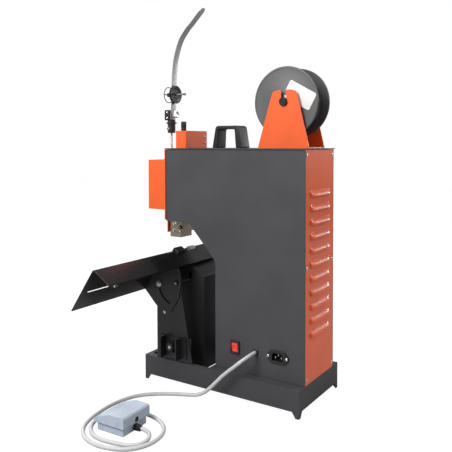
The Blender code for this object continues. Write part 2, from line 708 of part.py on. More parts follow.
def build_top_cover():
    cover = block("head_top_cover", (-TOP_COVER_HALF, TOP_COVER_FRONT, ROOF),
                  (TOP_COVER_HALF, TOP_COVER_BACK, TOP_COVER_HIGH), "signal_orange")
    room = block("top_cover_room", (-TOP_COVER_HALF + COVER_SHEET, TOP_COVER_FRONT + COVER_SHEET, ROOF - 0.01),
                 (TOP_COVER_HALF - COVER_SHEET, TOP_COVER_BACK - COVER_SHEET, TOP_COVER_HIGH - COVER_SHEET), None)
    middle = (TOP_COVER_FRONT + TOP_COVER_BACK) / 2
    hole = rod("knob_hole", 0.0066, TOP_COVER_HIGH - 0.01, TOP_COVER_HIGH + 0.01, "Z", None, (KNOB_X, middle), 16)
    cut(cover, room, hole)
    low = TOP_COVER_HIGH + GAP
    high = TOP_COVER_HIGH + 0.0195
    grip = 0.0057
    profile = [(0, high), (grip - 0.001, high), (grip, high - 0.001), (grip, low), (0.003, low),
               (0.003, ROOF), (0, ROOF)]
    turned("adjust_knob", [(radius, height - low) for radius, height in profile], "Z", "moulded_black",
           (KNOB_X, middle, low), 24)


def build_handle():
    """Moulded bridge handle with leaning ends."""
    under = HANDLE_TOP - HANDLE_BAR
    outer = [(-0.0555, ROOF), (-0.0470, HANDLE_TOP, 0.005), (0.0080, HANDLE_TOP, 0.005), (0.0160, ROOF)]
    inner = [(0.0005, ROOF), (-0.0020, under, 0.004), (-0.0425, under, 0.004), (-0.0440, ROOF)]
    made = plate("carry_handle", [rounded(outer + inner, 4)], "YZ", -HANDLE_HALF, HANDLE_HALF, "moulded_black")
    bevel = made.modifiers.new("edge", "BEVEL")
    bevel.width = 0.0012
    bevel.segments = 2
    bevel.limit_method = "ANGLE"
    bevel.angle_limit = math.radians(50)


# ---------------------------------------------------------------- wire spool
CHEEK_IN = SPOOL_WIDTH / 2 + 0.005
CHEEK_OUT = CHEEK_IN + SHEET
CHEEK_TOP = SPOOL_Z + 0.022
CHEEK_FRONT = (SPOOL_Y - 0.0555, SPOOL_Y - 0.0265)
CHEEK_BACK = (SPOOL_Y + 0.0528, SPOOL_Y + 0.0290)
HUB_RADIUS = 0.026


def build_spool_bracket():
    """U of sheet with tapered cheeks, each slotted from the top for the axle."""
    section = [(-CHEEK_OUT, CHEEK_TOP), (-CHEEK_OUT, ROOF), (CHEEK_OUT, ROOF), (CHEEK_OUT, CHEEK_TOP),
               (CHEEK_IN, CHEEK_TOP), (CHEEK_IN, ROOF + SHEET), (-CHEEK_IN, ROOF + SHEET), (-CHEEK_IN, CHEEK_TOP)]
    profile = [(SPOOL_X + x, z) for x, z in section]
    bracket = plate("spool_bracket", [profile], "XZ", CHEEK_FRONT[0], CHEEK_BACK[0], "signal_orange")
    reach = CHEEK_OUT + SPOOL_X + 0.01
    front = [(CHEEK_FRONT[0], ROOF), (CHEEK_FRONT[1], CHEEK_TOP - 0.012), (CHEEK_FRONT[1] + 0.004, CHEEK_TOP - 0.003),
             (CHEEK_FRONT[1] + 0.014, CHEEK_TOP), (CHEEK_FRONT[1] + 0.014, CHEEK_TOP + 0.02),
             (CHEEK_FRONT[0] - 0.02, CHEEK_TOP + 0.02), (CHEEK_FRONT[0] - 0.02, ROOF)]
    back = [(CHEEK_BACK[0], ROOF), (CHEEK_BACK[0] + 0.02, ROOF), (CHEEK_BACK[0] + 0.02, CHEEK_TOP + 0.02),
            (CHEEK_BACK[1] - 0.014, CHEEK_TOP + 0.02), (CHEEK_BACK[1] - 0.014, CHEEK_TOP),
            (CHEEK_BACK[1] - 0.004, CHEEK_TOP - 0.003), (CHEEK_BACK[1], CHEEK_TOP - 0.012)]
    half = AXLE_DIAMETER / 2 + GAP
    slot = [(SPOOL_Y + half, CHEEK_TOP + 0.02), (SPOOL_Y - half, CHEEK_TOP + 0.02)]
    slot += [(SPOOL_Y - half * math.cos(math.pi * step / 12), SPOOL_Z - half * math.sin(math.pi * step / 12))
             for step in range(13)]
    members = [plate(name, [shape], "YZ", -reach, reach, None)
               for name, shape in (("cheek_front", front), ("cheek_back", back), ("cheek_slot", slot))]
    cut(bracket, merged("cheek_cutter", members))


def build_spool():
    half = SPOOL_WIDTH / 2
    flange = half - 0.003
    bore = AXLE_DIAMETER / 2 + GAP
    profile = [(SPOOL_RADIUS - 0.001, half), (SPOOL_RADIUS, half - 0.001), (SPOOL_RADIUS, flange),
               (HUB_RADIUS, flange), (HUB_RADIUS, -flange), (SPOOL_RADIUS, -flange), (SPOOL_RADIUS, 0.001 - half),
               (SPOOL_RADIUS - 0.001, -half), (bore, -half), (bore, half), (SPOOL_RADIUS - 0.001, half)]
    centre = (SPOOL_X, SPOOL_Y, SPOOL_Z)
    turned("wire_spool", profile, "X", "spool_grey", centre, 40)
    wound = flange - GAP
    core = HUB_RADIUS + GAP
    full = 0.050
    winding = [(full, wound), (full, -wound), (core, -wound), (core, wound), (full, wound)]
    turned("wire_winding", winding, "X", "wire_dark", centre, 40)
    end = CHEEK_OUT + 0.0050
    cap = CHEEK_OUT + 0.0006
    radius = AXLE_DIAMETER / 2
    axle = [(0, end), (0.008, end), (0.008, cap), (radius, cap), (radius, -cap), (0.008, -cap), (0.008, -end),
            (0, -end)]
    turned("spool_axle", axle, "X", "dull_steel", centre, 24)


# ---------------------------------------------------------------- wire guide above the head
GUIDE_Y = -0.1745
STRIP_THICK = 0.0014
STRIP_HALF = 0.0085
CLAMP_LOW = COVER_HIGH + 0.0575
CLAMP_HIGH = CLAMP_LOW + 0.0285
JAW_TOP = CLAMP_HIGH + 0.0215
NUT_Z = CLAMP_HIGH + 0.0115
TENSION_Z = CLAMP_HIGH + 0.0545
# The strip's middle line: y, and the height above the clamp.
STRIP_ROUTE = [(-0.1705, 0.0008), (-0.1690, 0.0262), (-0.1676, 0.0620), (-0.1658, 0.0982), (-0.1605, 0.1337),
               (-0.1480, 0.1681), (-0.1310, 0.1900), (-0.1194, 0.2005), (-0.1031, 0.2162), (-0.0870, 0.2316)]


def smooth_route(route, per_span):
    """Points on a Catmull-Rom curve through a route of 2-D or 3-D points."""
    points = [Vector(point) for point in route]
    first = points[0] * 2 - points[1]
    last = points[-1] * 2 - points[-2]
    knots = [first, *points, last]
    curve = []
    for index in range(1, len(knots) - 2):
        a, b, c, d = knots[index - 1:index + 3]
        for step in range(per_span):
            t = step / per_span
            curve.append(0.5 * (2 * b + (c - a) * t + (2 * a - 5 * b + 4 * c - d) * t * t
                                + (3 * b - a - 3 * c + d) * t ** 3))
    curve.append(points[-1])
    return curve


def build_wire_guide():
    """Spring-steel strip that leads the wire from the spool, in a clamp on a post over the head."""
    middle = smooth_route([(y, CLAMP_HIGH + rise) for y, rise in STRIP_ROUTE], 3)
    half = STRIP_THICK / 2
    left = offset_path(middle, half)
    right = offset_path(middle, -half)
    outline = [corner[:2] for corner in left] + [corner[:2] for corner in reversed(right)]
    strip = plate("guide_strip", [outline], "YZ", -STRIP_HALF, STRIP_HALF, "bright_steel")
    bolt_hole = rod("tension_hole", 0.0046, -0.19, -0.15, "Y", None, (0, TENSION_Z), 16)
    nut_hole = rod("nut_hole", 0.0046, -0.19, -0.15, "Y", None, (0, NUT_Z), 16)
    cut(strip, bolt_hole, nut_hole)
    clamp = rod("guide_clamp", 0.017, CLAMP_LOW, CLAMP_HIGH, "Z", "moulded_black", (0, GUIDE_Y), 24)
    flange = rod("clamp_flange", 0.022, CLAMP_LOW + 0.0200, CLAMP_LOW + 0.0235, "Z", None, (0, GUIDE_Y), 24)
    jaw = block("clamp_jaw", (-0.010, -0.1860, CLAMP_HIGH - 0.001), (0.010, -0.1718, JAW_TOP), None)
    post_bore = rod("clamp_bore", 0.0050 + 2 * GAP, CLAMP_LOW - 0.01, CLAMP_LOW + 0.012, "Z", None, (0, GUIDE_Y), 16)
    thread = rod("jaw_thread", 0.0046, -0.19, -0.165, "Y", None, (0, NUT_Z), 16)
    join(clamp, flange, jaw)
    cut(clamp, post_bore, thread)
    foot = COVER_HIGH + GAP
    post = [(0, CLAMP_LOW + 0.0115), (0.0025, CLAMP_LOW + 0.0115), (0.0025, foot + 0.004), (0.007, foot + 0.004),
            (0.007, foot), (0.0025, foot), (0.0025, foot - 0.018), (0, foot - 0.018)]
    turned("guide_post", [(radius, height - foot) for radius, height in post], "Z", "dull_steel",
           (0, GUIDE_Y, foot), 16)
    nut = [(0, 0.0100), (0.0065, 0.0100), (0.0075, 0.0088), (0.0075, 0.0012), (0.0065, 0), (0.0020, 0),
           (0.0020, -0.012), (0, -0.012)]
    turned("thumb_nut", nut, "Y", "bright_steel", (0, -0.1684, NUT_Z), 24)


def build_tension():
    """Screw through the strip that carries the tension disc behind it and the wire hoop in front."""
    screw = [(0, -0.1360), (0.0028, -0.1360), (0.0028, -0.1385), (0.0020, -0.1385), (0.0020, -0.1858),
             (0, -0.1858)]
    turned("tension_screw", [(radius, y + 0.16) for radius, y in screw], "Y", "bright_steel",
           (0, -0.16, TENSION_Z), 16)
    inner = 0.0020 + GAP
    disc = [(0.0175, 0.003), (0.0195, 0.0015), (0.0195, -0.0015), (0.0175, -0.003), (inner, -0.003),
            (inner, 0.003), (0.0175, 0.003)]
    turned("tension_disc", disc, "Y", "moulded_black", (0, -0.1632, TENSION_Z), 32)
    ring_radius = 0.0165
    ring = [(ring_radius * math.cos(2 * math.pi * step / 28), -0.1815,
             TENSION_Z + ring_radius * math.sin(2 * math.pi * step / 28)) for step in range(28)]
    hoop = tube("guide_hoop", ring, 0.0018, "moulded_black", 1, closed=True)
    hub = rod("hoop_hub", 0.009, -0.1838, -0.1790, "Y", None, (0, TENSION_Z), 16)
    spoke = block("hoop_spoke", (-ring_radius, -0.1822, TENSION_Z - 0.0012), (ring_radius, -0.1808, TENSION_Z + 0.0012),
                  None)
    bore = rod("hoop_bore", 0.0040 + 2 * GAP, -0.19, -0.17, "Y", None, (0, TENSION_Z), 16)
    join(hoop, spoke, hub)
    cut(hoop, bore)


# ---------------------------------------------------------------- saddle table and its stand
FRONT_DOWN = Vector((-math.cos(FRONT_SLOPE), -math.sin(FRONT_SLOPE)))
BACK_DOWN = Vector((math.cos(BACK_SLOPE), -math.sin(BACK_SLOPE)))
FRONT_UNDER = Vector((math.sin(FRONT_SLOPE), -math.cos(FRONT_SLOPE)))
BACK_UNDER = Vector((-math.sin(BACK_SLOPE), -math.cos(BACK_SLOPE)))
SLOT_HALF = 0.013


def on_front(along, under=0.0):
    return RIDGE + FRONT_DOWN * along + FRONT_UNDER * under


def on_back(along, under=0.0):
    return RIDGE + BACK_DOWN * along + BACK_UNDER * under


def under_ridge(depth):
    """The corner where both leaves' faces, moved inwards by a depth, meet."""
    half = (math.pi - FRONT_SLOPE - BACK_SLOPE) / 2
    return RIDGE + (FRONT_DOWN + BACK_DOWN).normalized() * (depth / math.sin(half))


def build_table():
    bend = 0.004
    outline = rounded([on_front(FRONT_LEAF), (*RIDGE, bend), on_back(BACK_LEAF), on_back(BACK_LEAF, TABLE_SHEET),
                       (*under_ridge(TABLE_SHEET), bend - TABLE_SHEET), on_front(FRONT_LEAF, TABLE_SHEET)], 4)
    table = plate("saddle_table", [outline], "YZ", -TABLE_LENGTH / 2, TABLE_LENGTH / 2, "table_black")
    reach = 0.072
    window = [on_front(reach, -0.01), on_front(reach, 0.02), under_ridge(0.03), on_back(0.012, 0.02),
              on_back(0.012, -0.01), RIDGE + Vector((0, 0.02))]
    opening = plate("table_window", [window], "YZ", -SLOT_HALF, SLOT_HALF, None)
    slots = [opening]
    for side in (1, -1):
        middle = side * (TABLE_LENGTH / 2 - 0.052)
        slot = [on_front(0.0555, -0.01), on_front(0.0555, 0.02), on_front(0.0605, 0.02), on_front(0.0605, -0.01)]
        slots.append(plate(f"gauge_slot_{side}", [slot], "YZ", middle - 0.036, middle + 0.036, None))
    cut(table, merged("table_openings", slots))
    thick = 0.003
    clip = [on_front(0.013, -GAP), on_front(0.013, -GAP - thick), under_ridge(-GAP - thick),
            on_back(0.011, -GAP - thick), on_back(0.011, -GAP), under_ridge(-GAP)]
    plate("ridge_clip", [clip], "YZ", 0.030, 0.056, "moulded_black")


def tilted(angle, radius):
    return PIVOT + Vector((math.cos(angle), math.sin(angle))) * radius


def build_swing_plates():
    """Plates under the table, each with the arc slot that sets how far the table tilts."""
    gap = TABLE_SHEET + GAP
    outline = rounded([(*under_ridge(gap), 0.004), on_front(FRONT_LEAF - 0.002, gap),
                       (-0.1480, 0.1590, 0.010), (-0.1120, 0.1480, 0.006), (-0.0905, 0.1810, 0.010),
                       (-0.0840, 0.2110, 0.010), (-0.0870, 0.2320), on_back(BACK_LEAF - 0.008, gap)], 4)
    half = 0.0035
    start, end = math.radians(182), math.radians(250)
    count = 10
    outer = [tilted(start + (end - start) * step / count, ARC_RADIUS + half) for step in range(count + 1)]
    inner = [tilted(end + (start - end) * step / count, ARC_RADIUS - half) for step in range(count + 1)]
    hole = circle(PIVOT, TILT_ROD / 2 + GAP, 16)
    low = POST_OUTER + GAP
    for side, label in ((1, "right"), (-1, "left")):
        span = sorted((side * low, side * (low + 0.002)))
        plate("swing_plate_" + label, [outline, outer + inner, hole], "YZ", *span, "table_black")


def build_posts():
    outline = rounded([(-0.1480, BASE_HEIGHT + GAP), (-0.1480, 0.2150, 0.010), (-0.1360, 0.2300, 0.008),
                       (-0.1040, 0.2340, 0.008), (-0.0860, 0.2210, 0.010), (-0.0850, 0.1900, 0.010),
                       (-0.0585, BASE_HEIGHT + GAP)], 3)
    pin = circle(PIVOT, TILT_ROD / 2 + GAP, 16)
    bolt = circle(tilted(ARC_BOLT_ANGLE, ARC_RADIUS), 0.0025 + GAP, 14)
    screw = lock_slot()
    for side, label in ((1, "right"), (-1, "left")):
        span = sorted((side * POST_OUTER, side * (POST_OUTER - POST_SHEET)))
        plate("table_post_" + label, [outline, pin, bolt, screw], "YZ", *span, "table_black")


def lock_slot():
    """Upright slot that lets the stand rise past the lock screw."""
    radius = LOCK_SCREW / 2 + GAP
    return [Vector((LOCK_Y + radius * math.cos(a), LOCK_Z + radius * math.sin(a) + rise))
            for rise, first in ((0.0002, 0), (-STAND_TRAVEL - 0.0002, math.pi))
            for a in (first + math.pi * step / 8 for step in range(9))]


def build_pins():
    """Tilt rod through both posts, and the bolt in the right arc slot."""
    end = POST_OUTER + 0.002 + 2 * GAP + 0.003
    head = POST_OUTER + 0.002 + 2 * GAP
    radius = TILT_ROD / 2
    profile = [(0, end), (0.005, end), (0.005, head), (radius, head), (radius, -head), (0.005, -head),
               (0.005, -end), (0, -end)]
    turned("tilt_rod", profile, "X", "dull_steel", (0, *PIVOT), 16)
    place = tilted(ARC_BOLT_ANGLE, ARC_RADIUS)
    low = POST_OUTER - POST_SHEET - 0.003
    bolt = [(0, head + 0.0035), (0.0055, head + 0.0035), (0.0055, head), (0.0025, head), (0.0025, low), (0, low)]
    turned("arc_bolt", [(radius, height - head) for radius, height in bolt], "X", "bright_steel",
           (head, *place), 16)


def build_lock():
    """Channel bracket on the right post and the knob whose screw clamps post and lug."""
    face = POST_OUTER + GAP
    bracket = block("lock_bracket", (face, -0.1400, 0.0590), (face + 0.002, -0.0720, 0.1010), "table_black")
    for name, y in (("lock_flange_front", -0.1255), ("lock_flange_back", -0.0865)):
        join(bracket, block(name, (face + 0.001, y, 0.0590), (face + 0.0200, y + 0.003, 0.1010), None))
    cut(bracket, plate("lock_slot", [lock_slot()], "YZ", face - 0.01, face + 0.01, None))
    cap = face + 0.002 + GAP
    screw = [(0, cap + 0.015), (0.008, cap + 0.015), (0.0095, cap + 0.013), (0.0095, cap + 0.004),
             (0.006, cap), (LOCK_SCREW / 2, cap), (LOCK_SCREW / 2, 0.070), (0, 0.070)]
    turned("lock_knob", [(radius, height - cap) for radius, height in screw], "X", "moulded_black",
           (cap, LOCK_Y, LOCK_Z), 20)


def build_anvil():
    """Sheet column under the head that carries the clincher; it stands inside the base."""
    front, back = -0.1445, -0.0600
    outline = [(front, BAR_TOP + GAP), (back, BAR_TOP + GAP), (back, 0.2190), (-0.0660, 0.2215),
               (-0.0800, 0.2325), (-0.0960, 0.2430), (-0.1150, ANVIL_TOP), (-0.1285, ANVIL_TOP), (front, 0.2310)]
    column = plate("anvil_column", [outline], "YZ", -COLUMN_HALF, COLUMN_HALF, "table_black")
    wall = 0.003
    hollow = [(front + wall, 0.01), (back - wall, 0.01), (back - wall, 0.2160), (-0.0672, 0.2185), (-0.0812, 0.2293),
              (-0.0970, 0.2396), (-0.1158, ANVIL_TOP - wall), (-0.1270, ANVIL_TOP - wall), (front + wall, 0.2298)]
    room = plate("column_room", [hollow], "YZ", -COLUMN_HALF + wall, COLUMN_HALF - wall, None)
    half = TILT_ROD / 2 + 0.001
    slot = [PIVOT + Vector((half * math.cos(a), half * math.sin(a) + rise))
            for rise, first in ((STAND_TRAVEL, 0), (0, math.pi))
            for a in (first + math.pi * step / 6 for step in range(7))]
    passage = plate("rod_passage", [slot], "YZ", -COLUMN_HALF - 0.01, COLUMN_HALF + 0.01, None)
    cut(column, room, passage)
    clincher = block("clincher_block", (-0.010, -0.1280, ANVIL_TOP + GAP), (0.010, -0.1180, 0.2712), "bright_steel")
    groove = rod("clincher_groove", 0.003, -0.007, 0.007, "X", None, (-0.1230, 0.2717), 12)
    cut(clincher, groove)


# ---------------------------------------------------------------- electrical fittings on the right panel
def build_switch():
    face = BODY_SIDE + GAP
    y, z = SWITCH_CENTRE
    body = block("switch_body", (face - 0.022, y - SWITCH_BODY[0] / 2, z - SWITCH_BODY[1] / 2),
                 (face + 0.001, y + SWITCH_BODY[0] / 2, z + SWITCH_BODY[1] / 2), "moulded_black")
    bezel = block("switch_bezel", (face, y - SWITCH_SIZE[0] / 2, z - SWITCH_SIZE[1] / 2),
                  (face + 0.002, y + SWITCH_SIZE[0] / 2, z + SWITCH_SIZE[1] / 2), None)
    well = block("switch_well", (face - 0.012, y - 0.0070, z - 0.0098), (face + 0.01, y + 0.0070, z + 0.0098), None)
    join(body, bezel)
    cut(body, well)
    pivot = Vector((face - ROCKER_DEPTH, z))
    radius = 0.0095
    top = [pivot + Vector((math.cos(a), math.sin(a))) * radius for a in map(math.radians, (50, 65, 80, 95, 110))]
    low = [pivot + Vector((math.cos(a), math.sin(a))) * radius for a in map(math.radians, (250, 264, 278, 292))]
    outline = [*top, pivot + Vector((-0.006, 0.005)), pivot + Vector((-0.006, -0.005)), *low,
               pivot + Vector((0.0046, 0))]
    half = 0.0066
    rocker = plate("switch_rocker", [outline], "XZ", -half, half, "switch_red")
    rocker.data.transform(Matrix.Translation((-pivot.x, -pivot.y, 0)))
    rocker.location = (pivot.x, y, pivot.y)


def build_inlet():
    face = BODY_SIDE + GAP
    y, z = INLET_CENTRE
    inlet = block("power_inlet", (face - 0.020, y - INLET_BODY[0] / 2, z - INLET_BODY[1] / 2),
                  (face + 0.001, y + INLET_BODY[0] / 2, z + INLET_BODY[1] / 2), "moulded_black")
    flange = [(y - 0.0245, z, 0.0035), (y - 0.014, z - 0.012, 0.003), (y + 0.014, z - 0.012, 0.003),
              (y + 0.0245, z, 0.0035), (y + 0.014, z + 0.012, 0.003), (y - 0.014, z + 0.012, 0.003)]
    join(inlet, plate("inlet_flange", [rounded(flange, 3)], "YZ", face, face + 0.003, None))
    socket = [(y - 0.0115, z - 0.0075), (y + 0.0115, z - 0.0075), (y + 0.0115, z + 0.004), (y + 0.0080, z + 0.0075),
              (y - 0.0080, z + 0.0075), (y - 0.0115, z + 0.004)]
    cut(inlet, plate("inlet_socket", [socket], "YZ", face - 0.016, face + 0.01, None))


GLAND_LENGTH = 0.004


def build_gland():
    """Stepped bush in the side panel; the cord starts at its outer face."""
    face = BODY_SIDE + GAP
    hole = GLAND_HOLE / 2 - GAP
    profile = [(0, GLAND_LENGTH), (0.0042, GLAND_LENGTH), (0.0050, 0.0020), (0.0064, 0.0015), (0.0064, 0),
               (hole, 0), (hole, -0.008), (0, -0.008)]
    turned("cable_gland", profile, "X", "moulded_black", (face, *GLAND_CENTRE), 20)


# ---------------------------------------------------------------- foot switch
PEDAL_WALL = 0.002
PEDAL_SKIRT = 0.0150
PEDAL_BASE_TOP = 0.0120
PEDAL_PIN_U = 0.014
PEDAL_PIN_Z = 0.0210
PEDAL_GLAND_Z = 0.0066
PEDAL_BUSH = 0.014
PEDAL_INSET = PEDAL_WALL + 0.0020
PEDAL_BUSH_OUT = PEDAL_BUSH - PEDAL_INSET + GAP


def pedal_place(u, v, z):
    """A point u along the pedal from its rear edge and v across it, in machine coordinates."""
    along = Vector((math.sin(PEDAL_YAW), -math.cos(PEDAL_YAW)))
    across = Vector((math.cos(PEDAL_YAW), math.sin(PEDAL_YAW)))
    spot = PEDAL_REAR + along * u + across * v
    return Vector((spot.x, spot.y, z))


def pedal_piece(made):
    """Carry a piece built about the machine's centre, pedal rear at y 0, to where the pedal lies."""
    made.matrix_basis = (Matrix.Translation(pedal_place(0, 0, 0)) @ Matrix.Rotation(PEDAL_YAW, 4, "Z")
                         @ made.matrix_basis)
    return made


def build_pedal():
    """Flat base with the hinge pin, a hollow treadle hinged near its rear, and the cord's bush."""
    inset = PEDAL_INSET
    half = PEDAL_WIDTH / 2
    base = pedal_piece(block("pedal_base", (-half + inset, -PEDAL_LENGTH + inset, 0),
                             (half - inset, -inset, PEDAL_BASE_TOP), "pedal_blue_grey", 0.0015))
    for label, x in (("right", half - inset - 0.008), ("left", -half + inset + 0.004)):
        ear = block("pedal_ear_" + label, (x, -PEDAL_PIN_U - 0.005, PEDAL_BASE_TOP - 0.002),
                    (x + 0.004, -PEDAL_PIN_U + 0.005, PEDAL_PIN_Z + 0.005), None)
        join(base, pedal_piece(ear))
    microswitch = block("pedal_microswitch", (-0.007, -0.046, PEDAL_BASE_TOP - 0.002), (0.007, -0.024, 0.0215), None)
    join(base, pedal_piece(microswitch))
    pin = rod("pedal_pin", 0.0040, -half + 0.0002, half - 0.0002, "X", None, (-PEDAL_PIN_U, PEDAL_PIN_Z), 16)
    join(base, pedal_piece(pin))

    front_top = 0.0225
    crown = [(-PEDAL_LENGTH, PEDAL_SKIRT), (0, PEDAL_SKIRT), (0, PEDAL_HEIGHT, 0.004), (-0.032, PEDAL_HEIGHT, 0.014),
             (-PEDAL_LENGTH, front_top, 0.006)]
    treadle = plate("pedal_treadle", [rounded(crown, 4)], "YZ", -half, half, "pedal_blue_grey")
    wall = PEDAL_WALL
    room = [(-PEDAL_LENGTH + wall, PEDAL_SKIRT - 0.01), (-wall, PEDAL_SKIRT - 0.01), (-wall, PEDAL_HEIGHT - wall, 0.002),
            (-0.032, PEDAL_HEIGHT - wall, 0.014), (-PEDAL_LENGTH + wall, front_top - wall, 0.004)]
    hollow = plate("treadle_room", [rounded(room, 4)], "YZ", -half + wall, half - wall, None)
    corners = treadle.modifiers.new("edge", "BEVEL")
    corners.width = 0.0025
    corners.segments = 2
    corners.limit_method = "ANGLE"
    corners.angle_limit = math.radians(60)
    cut(treadle, pedal_piece(hollow))
    hole = rod("treadle_bore", 0.0040 + 2 * GAP, -half - 0.01, half + 0.01, "X", None, (-PEDAL_PIN_U, PEDAL_PIN_Z), 16)
    cut(treadle, pedal_piece(hole))
    pedal_piece(treadle)
    bush = [(0, PEDAL_BUSH), (0.0040, PEDAL_BUSH), (0.0048, 0.003), (0.0060, 0.003), (0.0060, 0), (0, 0)]
    pedal_piece(turned("pedal_gland", bush, "Y", "moulded_black", (0, -inset + GAP, PEDAL_GLAND_Z), 20))


# Route of the foot cord's centre line, from the gland's face to the pedal's bush, in machine coordinates.
CORD_ROUTE = [
    (0.0871, 0.0737, 0.0940), (0.0985, 0.0655, 0.0867), (0.1045, 0.0530, 0.0755), (0.1090, 0.0310, 0.0560),
    (0.1120, 0.0110, 0.0350), (0.1120, -0.0080, 0.0175), (0.1110, -0.0270, 0.0072), (0.1145, -0.0480, 0.0037),
    (0.1270, -0.0740, 0.0037), (0.1460, -0.1030, 0.0037), (0.1700, -0.1260, 0.0037), (0.2000, -0.1370, 0.0037),
    (0.2320, -0.1400, 0.0037), (0.2640, -0.1370, 0.0037), (0.2950, -0.1300, 0.0037), (0.3220, -0.1160, 0.0037),
    (0.3420, -0.0940, 0.0037), (0.3520, -0.0650, 0.0037), (0.3500, -0.0330, 0.0037), (0.3370, -0.0040, 0.0037),
    (0.3140, 0.0130, 0.0037), (0.2850, 0.0170, 0.0037), (0.2570, 0.0080, 0.0037), (0.2360, -0.0130, 0.0037),
    (0.2250, -0.0400, 0.0037), (0.2230, -0.0670, 0.0037), (0.2290, -0.0930, 0.0037), (0.2440, -0.1120, 0.0037),
    (0.2660, -0.1200, 0.0037), (0.2900, -0.1190, 0.0037), (0.3120, -0.1080, 0.0037), (0.3280, -0.0900, 0.0037),
    (0.3350, -0.0680, 0.0037), (0.3340, -0.0450, 0.0037), (0.3300, -0.0230, 0.0037), (0.3253, -0.0084, 0.0037),
    (0.3150, 0.0018, 0.0037), (0.3010, 0.0054, 0.0040), (0.2872, 0.0017, 0.0048), (0.2772, -0.0084, 0.0058),
]


def build_cord():
    stub = 0.004
    start = Vector((BODY_SIDE + GAP + GLAND_LENGTH + GAP, *GLAND_CENTRE))
    end = pedal_place(-PEDAL_BUSH_OUT - GAP, 0, PEDAL_GLAND_Z)
    lead_out = start + Vector((stub, 0, 0))
    lead_in = pedal_place(-PEDAL_BUSH_OUT - GAP - stub, 0, PEDAL_GLAND_Z)
    fine = smooth_route([lead_out, *CORD_ROUTE, lead_in], 10)
    spacing = 0.0150
    points = [start, fine[0]]
    travelled = 0.0
    for before, after in zip(fine, fine[1:]):
        travelled += (after - before).length
        if travelled >= spacing:
            points.append(after)
            travelled = 0.0
    if (points[-1] - fine[-1]).length < spacing / 2:
        points.pop()
    points += [fine[-1], end]
    tube("foot_cord", points, CORD_DIAMETER, "cord_grey", 2)


def main():
    build_base()
    build_side_panels()
    build_throat_liner()
    build_back_panel()
    build_top_plate()
    build_bearing_plates()
    build_bearings()
    build_crankshaft()
    build_crank_roller()
    build_flywheel()
    build_motor()
    build_motor_bracket()
    build_belt()
    build_clutch()
    build_control_board()
    build_head_plate()
    build_ram()
    build_former()
    build_front_cover()
    build_top_cover()
    build_handle()
    build_spool_bracket()
    build_spool()
    build_wire_guide()
    build_tension()
    build_table()
    build_swing_plates()
    build_posts()
    build_pins()
    build_lock()
    build_anvil()
    build_switch()
    build_inlet()
    build_gland()
    build_pedal()
    build_cord()
    bpy.context.view_layer.update()


main()
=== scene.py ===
"""Looks of a bench-top electric wire stitcher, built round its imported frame.

All lengths are metres in the frame's own axes: +Z up, the operator at -Y, the louvred panel at +Y and the
electrical fittings on the +X side. Each new piece is worked out as whole arrays of points, stands where the
frame's boxes say, and rides on the frame's bodies.
"""

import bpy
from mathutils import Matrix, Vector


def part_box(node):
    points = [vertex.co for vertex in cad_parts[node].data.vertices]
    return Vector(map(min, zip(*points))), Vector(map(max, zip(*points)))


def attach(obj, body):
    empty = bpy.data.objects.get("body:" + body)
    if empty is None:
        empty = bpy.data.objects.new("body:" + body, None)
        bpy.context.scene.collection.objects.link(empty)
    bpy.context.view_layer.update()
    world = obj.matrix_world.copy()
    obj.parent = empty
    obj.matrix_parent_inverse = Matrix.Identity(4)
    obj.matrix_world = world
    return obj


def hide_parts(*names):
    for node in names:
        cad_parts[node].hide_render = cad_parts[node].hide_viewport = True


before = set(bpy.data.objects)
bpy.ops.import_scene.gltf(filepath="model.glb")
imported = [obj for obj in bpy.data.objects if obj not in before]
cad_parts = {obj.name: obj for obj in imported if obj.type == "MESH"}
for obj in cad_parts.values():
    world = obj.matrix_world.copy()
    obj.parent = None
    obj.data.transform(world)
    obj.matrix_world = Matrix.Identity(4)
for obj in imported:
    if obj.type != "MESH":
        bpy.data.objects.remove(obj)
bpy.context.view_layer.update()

import logging
import math
from collections.abc import Callable, Iterable
from dataclasses import dataclass
from enum import Enum

import bpy
import numpy as np
from mathutils import Matrix, Vector

LOG = logging.getLogger("wire_stitcher")


def corners(node: str) -> tuple[np.ndarray, np.ndarray]:
    """Return a frame node's lowest and highest corners as arrays."""
    low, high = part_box(node)
    return np.array(low), np.array(high)


def centre(node: str) -> np.ndarray:
    """Return the middle of a frame node's box."""
    low, high = corners(node)
    return (low + high) / 2


def spans(node: str) -> np.ndarray:
    """Return the three lengths of a frame node's box."""
    low, high = corners(node)
    return high - low


def on_line(node: str, axis: str) -> np.ndarray:
    """Return a frame node's middle with its coordinate along one axis set to zero."""
    place = centre(node)
    place["XYZ".index(axis)] = 0
    return place


MIDDLE = float(centre("top_plate")[0])       # the machine's centre plane
GAP = 0.0003                                 # clearance between neighbouring surfaces
PEDAL_YAW = 2.0                              # the pedal's turn on the floor, degrees


# ---------------------------------------------------------------- surfaces as arrays
@dataclass
class Surface:
    """Points and faces of one skin.

    Attributes:
        points: array of shape (count, 3).
        faces: arrays of shape (count, corners), one for each kind of polygon.
    """

    points: np.ndarray
    faces: list[np.ndarray]

    def volume(self) -> float:
        """Sum the triple products of a fan of each face, and take a sixth.

        Returns:
            The signed volume, over zero where the faces look outwards.
        """
        total = 0.0
        for group in self.faces:
            first = self.points[group[:, 0]]
            for corner in range(1, group.shape[1] - 1):
                second = self.points[group[:, corner]]
                third = self.points[group[:, corner + 1]]
                total += float(np.einsum("ij,ij->i", first, np.cross(second, third)).sum())
        return total / 6

    def outward(self) -> "Surface":
        """Return the skin with its faces turned outwards."""
        if self.volume() >= 0:
            return self
        return Surface(self.points, [group[:, ::-1] for group in self.faces])

    def placed(self, matrix: Matrix) -> "Surface":
        """Return the skin carried by a matrix."""
        turn = np.array(matrix)
        return Surface(self.points @ turn[:3, :3].T + turn[:3, 3], self.faces)


